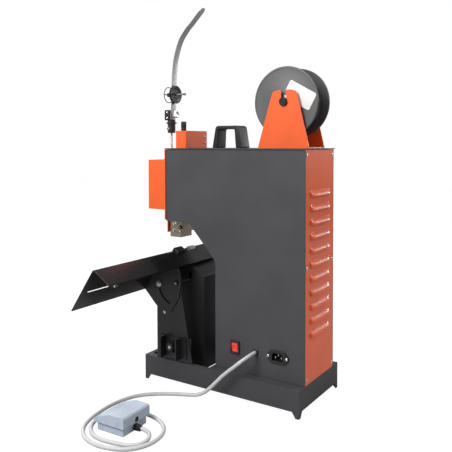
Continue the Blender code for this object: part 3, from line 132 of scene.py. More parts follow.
def grid(points: np.ndarray, wrap_rows: bool = False, caps: bool = True) -> Surface:
    """Join rows of points into a skin whose columns close on themselves.

    Args:
        points: array of shape (rows, columns, 3).
        wrap_rows: whether the last row joins the first.
        caps: whether the first and last rows are filled with one face each.

    Returns:
        The skin, faces outwards.
    """
    rows, columns = points.shape[:2]
    index = np.arange(rows * columns).reshape(rows, columns)
    here = index if wrap_rows else index[:-1]
    above = np.roll(index, -1, 0) if wrap_rows else index[1:]
    quads = np.stack([here, np.roll(here, -1, 1), np.roll(above, -1, 1), above], -1).reshape(-1, 4)
    faces = [quads]
    if caps and not wrap_rows:
        faces.append(np.stack([index[0][::-1], index[-1]]))
    return Surface(points.reshape(-1, 3), faces).outward()


def axes(axis: str) -> tuple[np.ndarray, np.ndarray, np.ndarray]:
    """Return two directions across an axis and the axis itself."""
    order = {"X": (1, 2, 0), "Y": (2, 0, 1), "Z": (0, 1, 2)}[axis]
    unit = np.eye(3)
    return unit[order[0]], unit[order[1]], unit[order[2]]


# Gives the change of radius from the rows' radii, their heights and the angles round the axis.
Ripple = Callable[[np.ndarray, np.ndarray, np.ndarray], np.ndarray]


def lathe(profile: Iterable[tuple[float, float]], axis: str, place: np.ndarray, sides: int = 96,
          ring: bool = False, ripple: Ripple | None = None) -> Surface:
    """Turn a profile about an axis.

    A point is place + height * axis + radius * (cos t * u + sin t * v), t going once round.

    Args:
        profile: pairs of radius and height, none on the axis itself.
        axis: "X", "Y" or "Z".
        place: the point the heights count from.
        sides: points round the axis.
        ring: whether the profile closes on itself.
        ripple: adds to the radius, from the rows' radii and heights and the angles.

    Returns:
        The skin.
    """
    shape = np.array(list(profile), float)
    turn = np.linspace(0, 2 * math.pi, sides, endpoint=False)
    radius = np.repeat(shape[:, :1], sides, 1)
    if ripple is not None:
        radius = radius + ripple(shape[:, :1], shape[:, 1:], turn[None, :])
    across, over, along = axes(axis)
    round_axis = np.cos(turn)[:, None] * across + np.sin(turn)[:, None] * over
    points = np.asarray(place) + shape[:, 1, None, None] * along + radius[..., None] * round_axis
    return grid(points, wrap_rows=ring)


def box_outline(width: float, depth: float, radius: float, steps: int = 6) -> np.ndarray:
    """Draw a rectangle with round corners: each corner's centre plus a quarter of a circle.

    Args:
        width: its first side.
        depth: its second side.
        radius: of the corners.
        steps: points on each corner.

    Returns:
        An array of shape (4 * steps, 2), counted from the rectangle's middle.
    """
    signs = np.array([(1, 1), (-1, 1), (-1, -1), (1, -1)], float)
    middle = signs * (np.array([width, depth]) / 2 - radius)
    start = np.radians([0, 90, 180, 270])
    turn = start[:, None] + np.linspace(0, math.pi / 2, steps)[None, :]
    arc = np.stack([np.cos(turn), np.sin(turn)], -1) * radius
    return (middle[:, None, :] + arc).reshape(-1, 2)


def inset(outline: np.ndarray, distance: np.ndarray | float) -> np.ndarray:
    """Move each corner of a closed outline inwards along its mitre.

    The mitre is (n1 + n2) / (1 + n1 . n2) for the unit normals n1 and n2 of the two sides at the corner.

    Args:
        outline: array of shape (count, 2).
        distance: how far, one value or one for each row of the result.

    Returns:
        An array of shape (rows, count, 2), or (count, 2) for one distance.
    """
    side = np.roll(outline, -1, 0) - outline
    side = side / np.linalg.norm(side, axis=1, keepdims=True)
    normal = np.stack([-side[:, 1], side[:, 0]], -1)
    before = np.roll(normal, 1, 0)
    mitre = (normal + before) / (1 + np.einsum("ij,ij->i", normal, before))[:, None]
    ahead = np.roll(outline, -1, 0)
    area = float((outline[:, 0] * ahead[:, 1] - ahead[:, 0] * outline[:, 1]).sum())
    steps = np.atleast_1d(np.asarray(distance, float))[:, None, None]
    moved = outline[None] + mitre[None] * steps * (1 if area > 0 else -1)
    return moved if np.ndim(distance) else moved[0]


def softened(knees: Iterable[tuple[float, float, float]], steps: int = 7) -> np.ndarray:
    """Round the corners of a closed outline.

    Each corner p becomes the curve a (1 - t)^2 + 2 p t (1 - t) + b t^2 between points a and b on its sides.

    Args:
        knees: corners as two coordinates and the distance cut from each side.
        steps: points on each curve.

    Returns:
        An array of shape (count, 2).
    """
    shape = np.array(list(knees), float)
    place, cut = shape[:, :2], shape[:, 2:]
    before, after = np.roll(place, 1, 0) - place, np.roll(place, -1, 0) - place
    a = place + before / np.linalg.norm(before, axis=1, keepdims=True) * cut
    b = place + after / np.linalg.norm(after, axis=1, keepdims=True) * cut
    t = np.linspace(0, 1, steps)[None, :, None]
    curve = a[:, None] * (1 - t) ** 2 + 2 * place[:, None] * t * (1 - t) + b[:, None] * t ** 2
    return curve.reshape(-1, 2)


PLANES = {"XY": (0, 1, 2), "YZ": (1, 2, 0), "XZ": (0, 2, 1)}


def slab(outline: np.ndarray, plane: str, low: float, high: float, edge: float, steps: int = 4) -> Surface:
    """Give an outline thickness, with a quarter-round along both rims.

    At the angle f from 0 to a quarter turn a rim's row is inset by edge * (1 - sin f) at the height
    edge * (1 - cos f) from its face.

    Args:
        outline: array of shape (count, 2) in the plane's two axes.
        plane: "XY", "YZ" or "XZ".
        low: the lower face.
        high: the upper face.
        edge: the rim's radius.
        steps: rows of one rim.

    Returns:
        The skin.
    """
    turn = np.linspace(0, math.pi / 2, steps)
    inward = edge * (1 - np.sin(turn))
    height = edge * (1 - np.cos(turn))
    insets = np.concatenate([inward, inward[::-1]])
    levels = np.concatenate([low + height, high - height[::-1]])
    flat = inset(outline, insets)
    points = np.zeros((*flat.shape[:2], 3))
    first, second, third = PLANES[plane]
    points[..., first] = flat[..., 0]
    points[..., second] = flat[..., 1]
    points[..., third] = levels[:, None]
    return grid(points)


def pad(low: np.ndarray, high: np.ndarray, plane: str, corner: float, edge: float) -> Surface:
    """Make a box between two corners, with round edges across the plane and round rims.

    Args:
        low: its lowest corner.
        high: its highest corner.
        plane: "XY", "YZ" or "XZ".
        corner: radius of the edges across the plane.
        edge: radius of the rims.

    Returns:
        The skin.
    """
    first, second, third = PLANES[plane]
    low, high = np.asarray(low, float), np.asarray(high, float)
    outline = box_outline(high[first] - low[first], high[second] - low[second], corner)
    outline = outline + np.array([low[first] + high[first], low[second] + high[second]]) / 2
    return slab(outline, plane, low[third], high[third], edge)


def tube(path: np.ndarray, radius: float, sides: int, across: np.ndarray, closed: bool = False) -> Surface:
    """Carry a circle along a path.

    The circle lies on the path's tangent crossed with a fixed direction, and on that crossed again.

    Args:
        path: array of shape (count, 3).
        radius: of the tube.
        sides: points round it.
        across: a direction never along the path.
        closed: whether the path closes on itself.

    Returns:
        The skin.
    """
    tangent = np.roll(path, -1, 0) - np.roll(path, 1, 0) if closed else np.gradient(path, axis=0)
    tangent = tangent / np.linalg.norm(tangent, axis=1, keepdims=True)
    side = np.cross(tangent, across)
    side = side / np.linalg.norm(side, axis=1, keepdims=True)
    over = np.cross(side, tangent)
    turn = np.linspace(0, 2 * math.pi, sides, endpoint=False)[None, :, None]
    points = path[:, None] + radius * (np.cos(turn) * side[:, None] + np.sin(turn) * over[:, None])
    return grid(points, wrap_rows=closed)


def catmull_rom(knots: np.ndarray, steps: int) -> np.ndarray:
    """Draw a smooth curve through points, up to but without the last one.

    Between b and c, with neighbours a and d, the curve is half of
    2b + (c - a) t + (2a - 5b + 4c - d) t^2 + (3b - a - 3c + d) t^3. Past each end the line is carried on
    by a point as far beyond it as the next one is inside.

    Args:
        knots: array of shape (count, dimensions).
        steps: points from one knot up to the next.

    Returns:
        An array of shape ((count - 1) * steps, dimensions).
    """
    size = knots.shape[1]
    knots = np.vstack([2 * knots[0] - knots[1], knots, 2 * knots[-1] - knots[-2]])
    a, b, c, d = (knots[shift:len(knots) - 3 + shift, None] for shift in range(4))
    t = np.linspace(0, 1, steps, endpoint=False)[None, :, None]
    curve = 0.5 * (2 * b + (c - a) * t + (2 * a - 5 * b + 4 * c - d) * t ** 2
                   + (3 * b - a - 3 * c + d) * t ** 3)
    return curve.reshape(-1, size)


def pierced(lines_u: np.ndarray, lines_v: np.ndarray, solid: np.ndarray, plane: str, low: float,
            high: float) -> Surface:
    """Make a flat sheet with rectangular holes.

    The lines cut the sheet into cells. A solid cell has a face on each side, and a wall stands wherever a
    solid cell meets an open one.

    Args:
        lines_u: the cuts along the plane's first axis.
        lines_v: the cuts along its second axis.
        solid: booleans of shape (len(lines_u) - 1, len(lines_v) - 1).
        plane: "XY", "YZ" or "XZ".
        low: the lower face.
        high: the upper face.

    Returns:
        The skin.
    """
    nodes_u, nodes_v = np.meshgrid(lines_u, lines_v, indexing="ij")
    first, second, third = PLANES[plane]
    points = np.zeros((2, *nodes_u.shape, 3))
    points[..., first] = nodes_u
    points[..., second] = nodes_v
    points[0, ..., third] = low
    points[1, ..., third] = high
    index = np.arange(2 * nodes_u.size).reshape(2, *nodes_u.shape)
    a, b, c, d = index[:, :-1, :-1], index[:, 1:, :-1], index[:, 1:, 1:], index[:, :-1, 1:]
    faces = [np.stack([a[1], b[1], c[1], d[1]], -1)[solid], np.stack([d[0], c[0], b[0], a[0]], -1)[solid]]
    padded = np.pad(solid, 1)
    for shift, axis, (p, q) in ((1, 0, (a, d)), (-1, 0, (c, b)), (1, 1, (b, a)), (-1, 1, (d, c))):
        open_side = solid & ~np.roll(padded, shift, axis)[1:-1, 1:-1]
        faces.append(np.stack([p[0], p[1], q[1], q[0]], -1)[open_side])
    used, packed = np.unique(np.concatenate(faces), return_inverse=True)
    return Surface(points.reshape(-1, 3)[used], [packed.reshape(-1, 4)]).outward()


def pan_head(radius: float, height: float, recess: float = 0.45, sides: int = 32) -> Surface:
    """Make a screw head about +Z with a cross recess, its seat at zero.

    The dome's height is height * (1 - 0.55 * (r / radius) ** 2.6). The cross lowers it by recess * height
    where the smaller of |x| and |y| is under 0.13 of the radius and r under 0.68 of it, with soft borders.

    Args:
        radius: of the head.
        height: of its dome.
        recess: depth of the cross as a share of the height.
        sides: points round it.

    Returns:
        The skin.
    """
    share = np.array([0.02, 0.1, 0.17, 0.25, 0.4, 0.55, 0.66, 0.74, 0.86, 0.95, 1.0])[:, None]
    turn = np.linspace(0, 2 * math.pi, sides, endpoint=False)[None, :]
    x, y = share * np.cos(turn), share * np.sin(turn)
    arms = np.minimum(np.abs(x), np.abs(y))
    inside = 1 / (1 + np.exp((arms - 0.13) * 60)) / (1 + np.exp((share - 0.68) * 60))
    level = height * (1 - 0.55 * share ** 2.6 - recess * inside)
    top = np.stack([x * radius, y * radius, level * np.ones_like(x)], -1)
    seat = top[-1:].copy()
    seat[..., 2] = 0
    return grid(np.concatenate([top, seat]))


def facing(place: np.ndarray, normal: tuple[float, float, float], spin: float = 0.0) -> Matrix:
    """Find the matrix that carries +Z at the origin to a normal at a place.

    Args:
        place: where the origin goes.
        normal: where +Z points afterwards.
        spin: a first turn about +Z, radians.

    Returns:
        The matrix.
    """
    turn = Vector((0, 0, 1)).rotation_difference(Vector(normal)).to_matrix().to_4x4()
    return Matrix.Translation(Vector(place)) @ turn @ Matrix.Rotation(spin, 4, "Z")


# ---------------------------------------------------------------- shader graphs
# An input takes another node's output or a plain value.
Socket = bpy.types.NodeSocket
Feed = Socket | float | tuple[float, ...]


class Graph:
    """Adds and joins the nodes of one shader tree."""

    def __init__(self, tree: bpy.types.NodeTree) -> None:
        """Start on a tree and empty it."""
        self.tree = tree
        tree.nodes.clear()

    def feed(self, socket: Socket, value: Feed) -> None:
        """Link an input to another node's output, or set it to a plain value."""
        if isinstance(value, Socket):
            self.tree.links.new(value, socket)
        else:
            socket.default_value = value

    def node(self, kind: str, inputs: dict[str | int, Feed] | None = None,
             **settings: object) -> bpy.types.Node:
        """Add a node.

        Args:
            kind: the node's type without its ShaderNode prefix, or its full type.
            inputs: values or sockets for its inputs, by name or number.
            settings: the node's own properties.

        Returns:
            The node.
        """
        full = kind if kind.startswith(("Node", "Shader")) else "ShaderNode" + kind
        made = self.tree.nodes.new(full)
        for key, value in settings.items():
            setattr(made, key, value)
        for key, value in (inputs or {}).items():
            self.feed(made.inputs[key], value)
        return made

    def maths(self, operation: str, first: Feed, second: Feed = 0.0, clamp: bool = False) -> Socket:
        """Add a Math node and return its output."""
        return self.node("Math", {0: first, 1: second}, operation=operation, use_clamp=clamp).outputs[0]

    def ranged(self, value: Feed, low: float, high: float, to_low: float, to_high: float) -> Socket:
        """Add a smooth Map Range node and return its output."""
        limits = {0: value, 1: low, 2: high, 3: to_low, 4: to_high}
        return self.node("MapRange", limits, interpolation_type="SMOOTHSTEP").outputs[0]

    def mixed(self, share: Feed, first: Feed, second: Feed) -> Socket:
        """Add a colour Mix node and return its output."""
        inputs = {0: share, 6: first, 7: second}
        return self.node("Mix", inputs, data_type="RGBA", blend_type="MIX", clamp_factor=True).outputs[2]

    def group(self, tree: bpy.types.NodeTree, **inputs: Feed) -> bpy.types.Node:
        """Place a node group.

        Args:
            tree: the group.
            inputs: values or sockets for its inputs, named in lower case with underlines.

        Returns:
            The node.
        """
        made = self.node("Group", node_tree=tree)
        for key, value in inputs.items():
            self.feed(made.inputs[key.replace("_", " ").title()], value)
        return made


def start_group(name: str, inputs: dict[str, float], outputs: dict[str, str]) -> tuple[Graph, bpy.types.Node]:
    """Begin a shader node group.

    Args:
        name: the group's name.
        inputs: its number inputs and their first values.
        outputs: its outputs and their socket types.

    Returns:
        The graph to fill and the group's input node.
    """
    tree = bpy.data.node_groups.new(name, "ShaderNodeTree")
    for label, value in inputs.items():
        tree.interface.new_socket(label, in_out="INPUT", socket_type="NodeSocketFloat").default_value = value
    for label, kind in outputs.items():
        tree.interface.new_socket(label, in_out="OUTPUT", socket_type=kind)
    graph = Graph(tree)
    return graph, graph.node("NodeGroupInput")


NUMBER = "NodeSocketFloat"
DIRECTION = "NodeSocketVector"


def soft_edge_group() -> bpy.types.NodeTree:
    """Round every sharp edge in the shading, and mark where handling has rubbed it.

    The mask grows where the rounded normal leaves the face's own, broken up by patchy noise.

    Returns:
        The group.
    """
    graph, given = start_group("Soft Edge", {"Radius": 0.0006, "Rub": 0.3, "Patch Scale": 45.0},
                               {"Normal": DIRECTION, "Mask": NUMBER})
    rounded = graph.node("Bevel", {"Radius": given.outputs["Radius"]}, samples=4).outputs[0]
    own = graph.node("NewGeometry").outputs["Normal"]
    agree = graph.node("VectorMath", {0: rounded, 1: own}, operation="DOT_PRODUCT").outputs["Value"]
    bend = graph.ranged(agree, 0.985, 0.80, 0.0, 1.0)
    spot = graph.node("TexCoord").outputs["Object"]
    patches = graph.node("TexNoise", {"Vector": spot, "Scale": given.outputs["Patch Scale"], "Detail": 4.0,
                                      "Roughness": 0.65}).outputs["Fac"]
    worn = graph.maths("MULTIPLY", bend, graph.ranged(patches, 0.42, 0.66, 0.15, 1.0))
    mask = graph.maths("MULTIPLY", worn, given.outputs["Rub"], clamp=True)
    graph.node("NodeGroupOutput", {"Normal": rounded, "Mask": mask})
    return graph.tree


def grain_group() -> bpy.types.NodeTree:
    """Make the fine texture of a skin: a height for bump and a tone that varies slowly over the piece.

    Returns:
        The group.
    """
    stretches = {"Stretch X": 1.0, "Stretch Y": 1.0, "Stretch Z": 1.0}
    graph, given = start_group("Fine Grain", {"Scale": 900.0, **stretches, "Drift Scale": 14.0},
                               {"Height": NUMBER, "Tone": NUMBER})
    spot = graph.node("TexCoord").outputs["Object"]
    pull = graph.node("CombineXYZ", {axis: given.outputs["Stretch " + axis] for axis in "XYZ"}).outputs[0]
    pulled = graph.node("VectorMath", {0: spot, 1: pull}, operation="MULTIPLY").outputs[0]
    fine = graph.node("TexNoise", {"Vector": pulled, "Scale": given.outputs["Scale"],
                                   "Detail": 2.0}).outputs["Fac"]
    slow = graph.node("TexNoise", {"Vector": spot, "Scale": given.outputs["Drift Scale"], "Detail": 3.0,
                                   "Roughness": 0.55}).outputs["Fac"]
    tone = graph.maths("ADD", graph.maths("MULTIPLY", slow, 0.7), graph.maths("MULTIPLY", fine, 0.3))
    graph.node("NodeGroupOutput", {"Height": fine, "Tone": tone})
    return graph.tree


def dust_group() -> bpy.types.NodeTree:
    """Lay thin dust where a face looks up, in soft drifts.

    Returns:
        The group.
    """
    graph, given = start_group("Settled Dust", {"Amount": 0.2, "Scale": 60.0}, {"Mask": NUMBER})
    coordinates = graph.node("TexCoord")
    upward = graph.node("SeparateXYZ", {0: coordinates.outputs["Normal"]}).outputs[2]
    drifts = graph.node("TexNoise", {"Vector": coordinates.outputs["Object"], "Scale": given.outputs["Scale"],
                                     "Detail": 5.0, "Roughness": 0.7}).outputs["Fac"]
    lying = graph.maths("MULTIPLY", graph.ranged(upward, 0.55, 0.95, 0.0, 1.0),
                        graph.ranged(drifts, 0.4, 0.75, 0.2, 1.0))
    mask = graph.maths("MULTIPLY", lying, given.outputs["Amount"], clamp=True)
    graph.node("NodeGroupOutput", {"Mask": mask})
    return graph.tree


class Texture(Enum):
    """Skins, each with its grain scale, stretch, bump depth, tone spread and roughness spread."""

    POWDER = (1100.0, (1, 1, 1), 0.00005, 0.10, 0.08)
    FINE_POWDER = (1600.0, (1, 1, 1), 0.00002, 0.08, 0.05)
    MOULDED = (2200.0, (1, 1, 1), 0.00005, 0.10, 0.10)
    SMOOTH = (600.0, (1, 1, 1), 0.000005, 0.05, 0.05)
    CAST = (420.0, (1, 1, 1), 0.00022, 0.18, 0.12)
    BRUSHED_UP = (1400.0, (1, 1, 0.02), 0.00003, 0.16, 0.16)
    GROUND = (1400.0, (1, 0.03, 1), 0.00003, 0.14, 0.14)
    SHEATH = (900.0, (1, 1, 1), 0.00003, 0.06, 0.08)


@dataclass(frozen=True)
class Finish:
    """One surface finish.

    Attributes:
        name: the material's name.
        colour: linear red, green and blue.
        roughness: of the bare skin.
        texture: its grain.
        metallic: 1 for bare metal.
        coat: weight of a clear layer.
        coat_roughness: of that layer.
        rub_colour: what shows where edges are rubbed.
        rub: how far they are rubbed.
        dust: how much dust lies on it.
        rounding: radius of its edges in the shading.
    """

    name: str
    colour: tuple[float, float, float]
    roughness: float
    texture: Texture
    metallic: float = 0.0
    coat: float = 0.0
    coat_roughness: float = 0.1
    rub_colour: tuple[float, float, float] = (0.30, 0.30, 0.30)
    rub: float = 0.12
    dust: float = 0.0
    rounding: float = 0.0006

    def material(self) -> bpy.types.Material:
        """Give the finish's material, built at its first use.

        Returns:
            The material.
        """
        found = bpy.data.materials.get(self.name)
        if found:
            return found
        made = bpy.data.materials.new(self.name)
        made.use_nodes = True
        graph = Graph(made.node_tree)
        scale, stretch, depth, spread, rough_spread = self.texture.value
        pulls = {"stretch_" + axis: float(pull) for axis, pull in zip("xyz", stretch)}
        grain = graph.group(GROUPS["grain"], scale=scale, **pulls)
        edge = graph.group(GROUPS["edge"], radius=self.rounding, rub=self.rub)
        dust = graph.group(GROUPS["dust"], amount=self.dust)
        tone = graph.ranged(grain.outputs["Tone"], 0.3, 0.7, 1 - spread, 1 + spread)
        toned = graph.node("VectorMath", {0: (*self.colour,), 3: tone}, operation="SCALE").outputs[0]
        rubbed = graph.mixed(edge.outputs["Mask"], toned, (*self.rub_colour, 1))
        colour = graph.mixed(dust.outputs["Mask"], rubbed, (0.42, 0.40, 0.37, 1))
        rough = graph.ranged(grain.outputs["Tone"], 0.3, 0.7, self.roughness * (1 - rough_spread),
                             self.roughness * (1 + rough_spread))
        rough = graph.maths("ADD", rough, graph.maths("MULTIPLY", dust.outputs["Mask"], 0.5), clamp=True)
        bump = graph.node("Bump", {"Strength": 0.5, "Distance": depth, "Height": grain.outputs["Height"],
                                   "Normal": edge.outputs["Normal"]})
        shader = graph.node("BsdfPrincipled", {
            "Base Color": colour, "Roughness": rough, "Metallic": self.metallic, "Coat Weight": self.coat,
            "Coat Roughness": self.coat_roughness, "Normal": bump.outputs[0]})
        graph.node("OutputMaterial", {"Surface": shader.outputs[0]})
        return made


GROUPS = {"edge": soft_edge_group(), "grain": grain_group(), "dust": dust_group()}

PANEL = Finish("panel_powder_coat", (0.050, 0.049, 0.053), 0.52, Texture.POWDER, dust=0.02)
BASE = Finish("base_powder_coat", (0.044, 0.043, 0.047), 0.52, Texture.POWDER, dust=0.03)
ORANGE = Finish("orange_powder_coat", (0.86, 0.120, 0.023), 0.34, Texture.FINE_POWDER, coat=0.25,
                coat_roughness=0.12, rub_colour=(0.9, 0.35, 0.2))
TABLE = Finish("table_gloss_black", (0.006, 0.006, 0.007), 0.24, Texture.SMOOTH, rub=0.10, rounding=0.0008)
STAND = Finish("stand_black", (0.014, 0.014, 0.015), 0.42, Texture.POWDER, rub=0.10)
BLACK = Finish("moulded_black", (0.014, 0.014, 0.015), 0.40, Texture.MOULDED, rub_colour=(0.08, 0.08, 0.08))
DARK_CAST = Finish("dark_casting", (0.09, 0.09, 0.095), 0.55, Texture.CAST, metallic=0.5)
STEEL = Finish("ground_steel", (0.52, 0.51, 0.49), 0.30, Texture.GROUND, metallic=1.0, rub=0.0)
WARM_STEEL = Finish("warm_steel", (0.36, 0.31, 0.255), 0.36, Texture.GROUND, metallic=1.0, rub=0.15)
DULL_STEEL = Finish("dull_steel", (0.27, 0.265, 0.255), 0.38, Texture.GROUND, metallic=1.0, rub=0.1)
SPRING = Finish("spring_steel", (0.46, 0.44, 0.44), 0.45, Texture.BRUSHED_UP, metallic=1.0, rub=0.05,
                rounding=0.0003)
PLATED = Finish("plated_screw", (0.62, 0.62, 0.60), 0.25, Texture.SMOOTH, metallic=1.0, rub=0.0,
                rounding=0.0002)
BLACK_SCREW = Finish("black_screw", (0.03, 0.03, 0.03), 0.35, Texture.SMOOTH, metallic=0.6, rounding=0.0002)
SPOOL = Finish("spool_moulding", (0.105, 0.105, 0.107), 0.48, Texture.MOULDED, rub_colour=(0.2, 0.2, 0.2))
DARK_WIRE = Finish("dark_wire", (0.085, 0.085, 0.085), 0.40, Texture.SMOOTH, metallic=0.9, rub=0.0,
                   rounding=0.0002)
BRASS = Finish("brass", (0.62, 0.44, 0.18), 0.28, Texture.SMOOTH, metallic=1.0, rub=0.0, rounding=0.0002)
BRONZE = Finish("bearing_bronze", (0.50, 0.30, 0.12), 0.35, Texture.GROUND, metallic=1.0, rub=0.0)
# Black rubber for the drive belt; also the black disc on the treadle that is painted shade for an opening.
RUBBER_AND_SHADE = Finish("rubber_and_painted_shade", (0.012, 0.012, 0.012), 0.75, Texture.MOULDED, rub=0.0)
BOARD = Finish("circuit_board", (0.012, 0.09, 0.03), 0.4, Texture.SMOOTH, rub=0.0)
RED = Finish("rocker_red", (0.95, 0.045, 0.03), 0.22, Texture.SMOOTH, rub=0.0, coat=0.4, rounding=0.0005)
WHITE = Finish("white_mark", (0.82, 0.82, 0.80), 0.5, Texture.SMOOTH, rub=0.0, rounding=0.0001)
LABEL = Finish("blank_label", (0.80, 0.80, 0.79), 0.35, Texture.SMOOTH, rub=0.0, rounding=0.0001)
PEDAL = Finish("pedal_enamel", (0.43, 0.49, 0.58), 0.38, Texture.CAST, rub_colour=(0.5, 0.52, 0.55),
               rounding=0.0008)
SHEATH = Finish("cord_sheath", (0.55, 0.55, 0.56), 0.45, Texture.SHEATH, rub=0.0, rounding=0.0002)

NODE_FINISHES: dict[Finish, tuple[str, ...]] = {
    PANEL: ("side_panel_right", "side_panel_left", "top_plate", "throat_liner"),
    BASE: ("base_plinth",),
    ORANGE: ("back_panel", "head_front_cover", "head_top_cover", "spool_bracket", "head_guard",
             "front_bearing_plate"),
    TABLE: ("saddle_table",),
    STAND: ("table_post_right", "table_post_left", "swing_plate_right", "swing_plate_left", "lock_bracket",
            "anvil_column"),
    BLACK: ("adjust_knob", "carry_handle", "guide_clamp", "tension_disc", "guide_hoop", "ridge_clip",
            "lock_knob", "switch_body", "power_inlet", "cable_gland", "pedal_gland"),
    DARK_CAST: ("rear_bearing_plate", "flywheel", "motor"),
    STEEL: ("ram", "driver_blade", "clincher_block", "clutch_pawl"),
    WARM_STEEL: ("head_plate", "former_block"),
    DULL_STEEL: ("crankshaft", "motor_pulley", "motor_bracket", "clutch_solenoid", "spool_axle", "guide_post",
                 "tilt_rod"),
    SPRING: ("guide_strip",),
    PLATED: ("thumb_nut", "tension_screw", "arc_bolt"),
    BRONZE: ("front_bearing", "rear_bearing", "crank_roller"),
    RUBBER_AND_SHADE: ("drive_belt",),
    BOARD: ("control_board",),
    SPOOL: ("wire_spool",),
    DARK_WIRE: ("wire_winding",),
    RED: ("switch_rocker",),
    PEDAL: ("pedal_base", "pedal_treadle"),
    SHEATH: ("foot_cord",),
}


def dress_frame() -> None:
    """Give every frame node its finish."""
    for finish, nodes in NODE_FINISHES.items():
        for node in nodes:
            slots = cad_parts[node].data.materials
            slots.clear()
            slots.append(finish.material())
    LOG.info("dressed %d frame nodes", sum(len(nodes) for nodes in NODE_FINISHES.values()))


# ---------------------------------------------------------------- pieces
class Piece:
    """Gathers skins, each in its finish, into one object that rides on a body."""

    def __init__(self, name: str) -> None:
        """Start an empty piece."""
        self.name = name
        self.skins: list[tuple[Surface, Finish]] = []

    def add(self, skin: Surface, finish: Finish) -> "Piece":
        """Add one skin in one finish."""
        self.skins.append((skin, finish))
        return self

    def screws(self, places: Iterable[np.ndarray], normal: tuple[float, float, float], radius: float,
               finish: Finish = PLATED) -> "Piece":
        """Add cross-recessed heads, each turned a little further than the last.

        Args:
            places: of their seats.
            normal: the way they face.
            radius: of each head.
            finish: of them all.

        Returns:
            The piece itself.
        """
        for count, place in enumerate(places):
            head = pan_head(radius, radius * 0.6)
            self.add(head.placed(facing(place, normal, 0.4 + 0.77 * count)), finish)
        return self

    def mesh(self) -> bpy.types.Mesh:
        """Fill one mesh with all the skins, from arrays.

        Returns:
            The mesh.
        """
        finishes = list(dict.fromkeys(finish for _, finish in self.skins))
        starts = np.cumsum([0] + [len(skin.points) for skin, _ in self.skins])
        points = np.concatenate([skin.points for skin, _ in self.skins])
        groups = [(group + start, finishes.index(finish)) for (skin, finish), start in zip(self.skins, starts)
                  for group in skin.faces]
        sizes = np.concatenate([np.full(len(group), group.shape[1]) for group, _ in groups])
        mesh = bpy.data.meshes.new(self.name)
        mesh.vertices.add(len(points))
        mesh.vertices.foreach_set("co", points.astype(np.float32).ravel())
        mesh.loops.add(int(sizes.sum()))
        mesh.loops.foreach_set("vertex_index", np.concatenate([group.ravel() for group, _ in groups]))
        mesh.polygons.add(len(sizes))
        mesh.polygons.foreach_set("loop_start", np.concatenate([[0], np.cumsum(sizes)[:-1]]))
        mesh.polygons.foreach_set("material_index",
                                  np.concatenate([np.full(len(group), number) for group, number in groups]))
        mesh.update(calc_edges=True)
        mesh.shade_smooth()
        mesh.set_sharp_from_angle(angle=math.radians(38))
        for finish in finishes:
            mesh.materials.append(finish.material())
        return mesh

    def build(self, body: str, slot: str, replaces: tuple[str, ...] = ()) -> None:
        """Make the object.

        Args:
            body: the frame body it rides on.
            slot: not used.
            replaces: frame nodes it stands for.
        """
        made = bpy.data.objects.new(self.name, self.mesh())
        bpy.context.scene.collection.objects.link(made)
        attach(made, body)
        if replaces:
            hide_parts(*replaces)
        LOG.info("%s: %d skins on %s", self.name, len(self.skins), body)


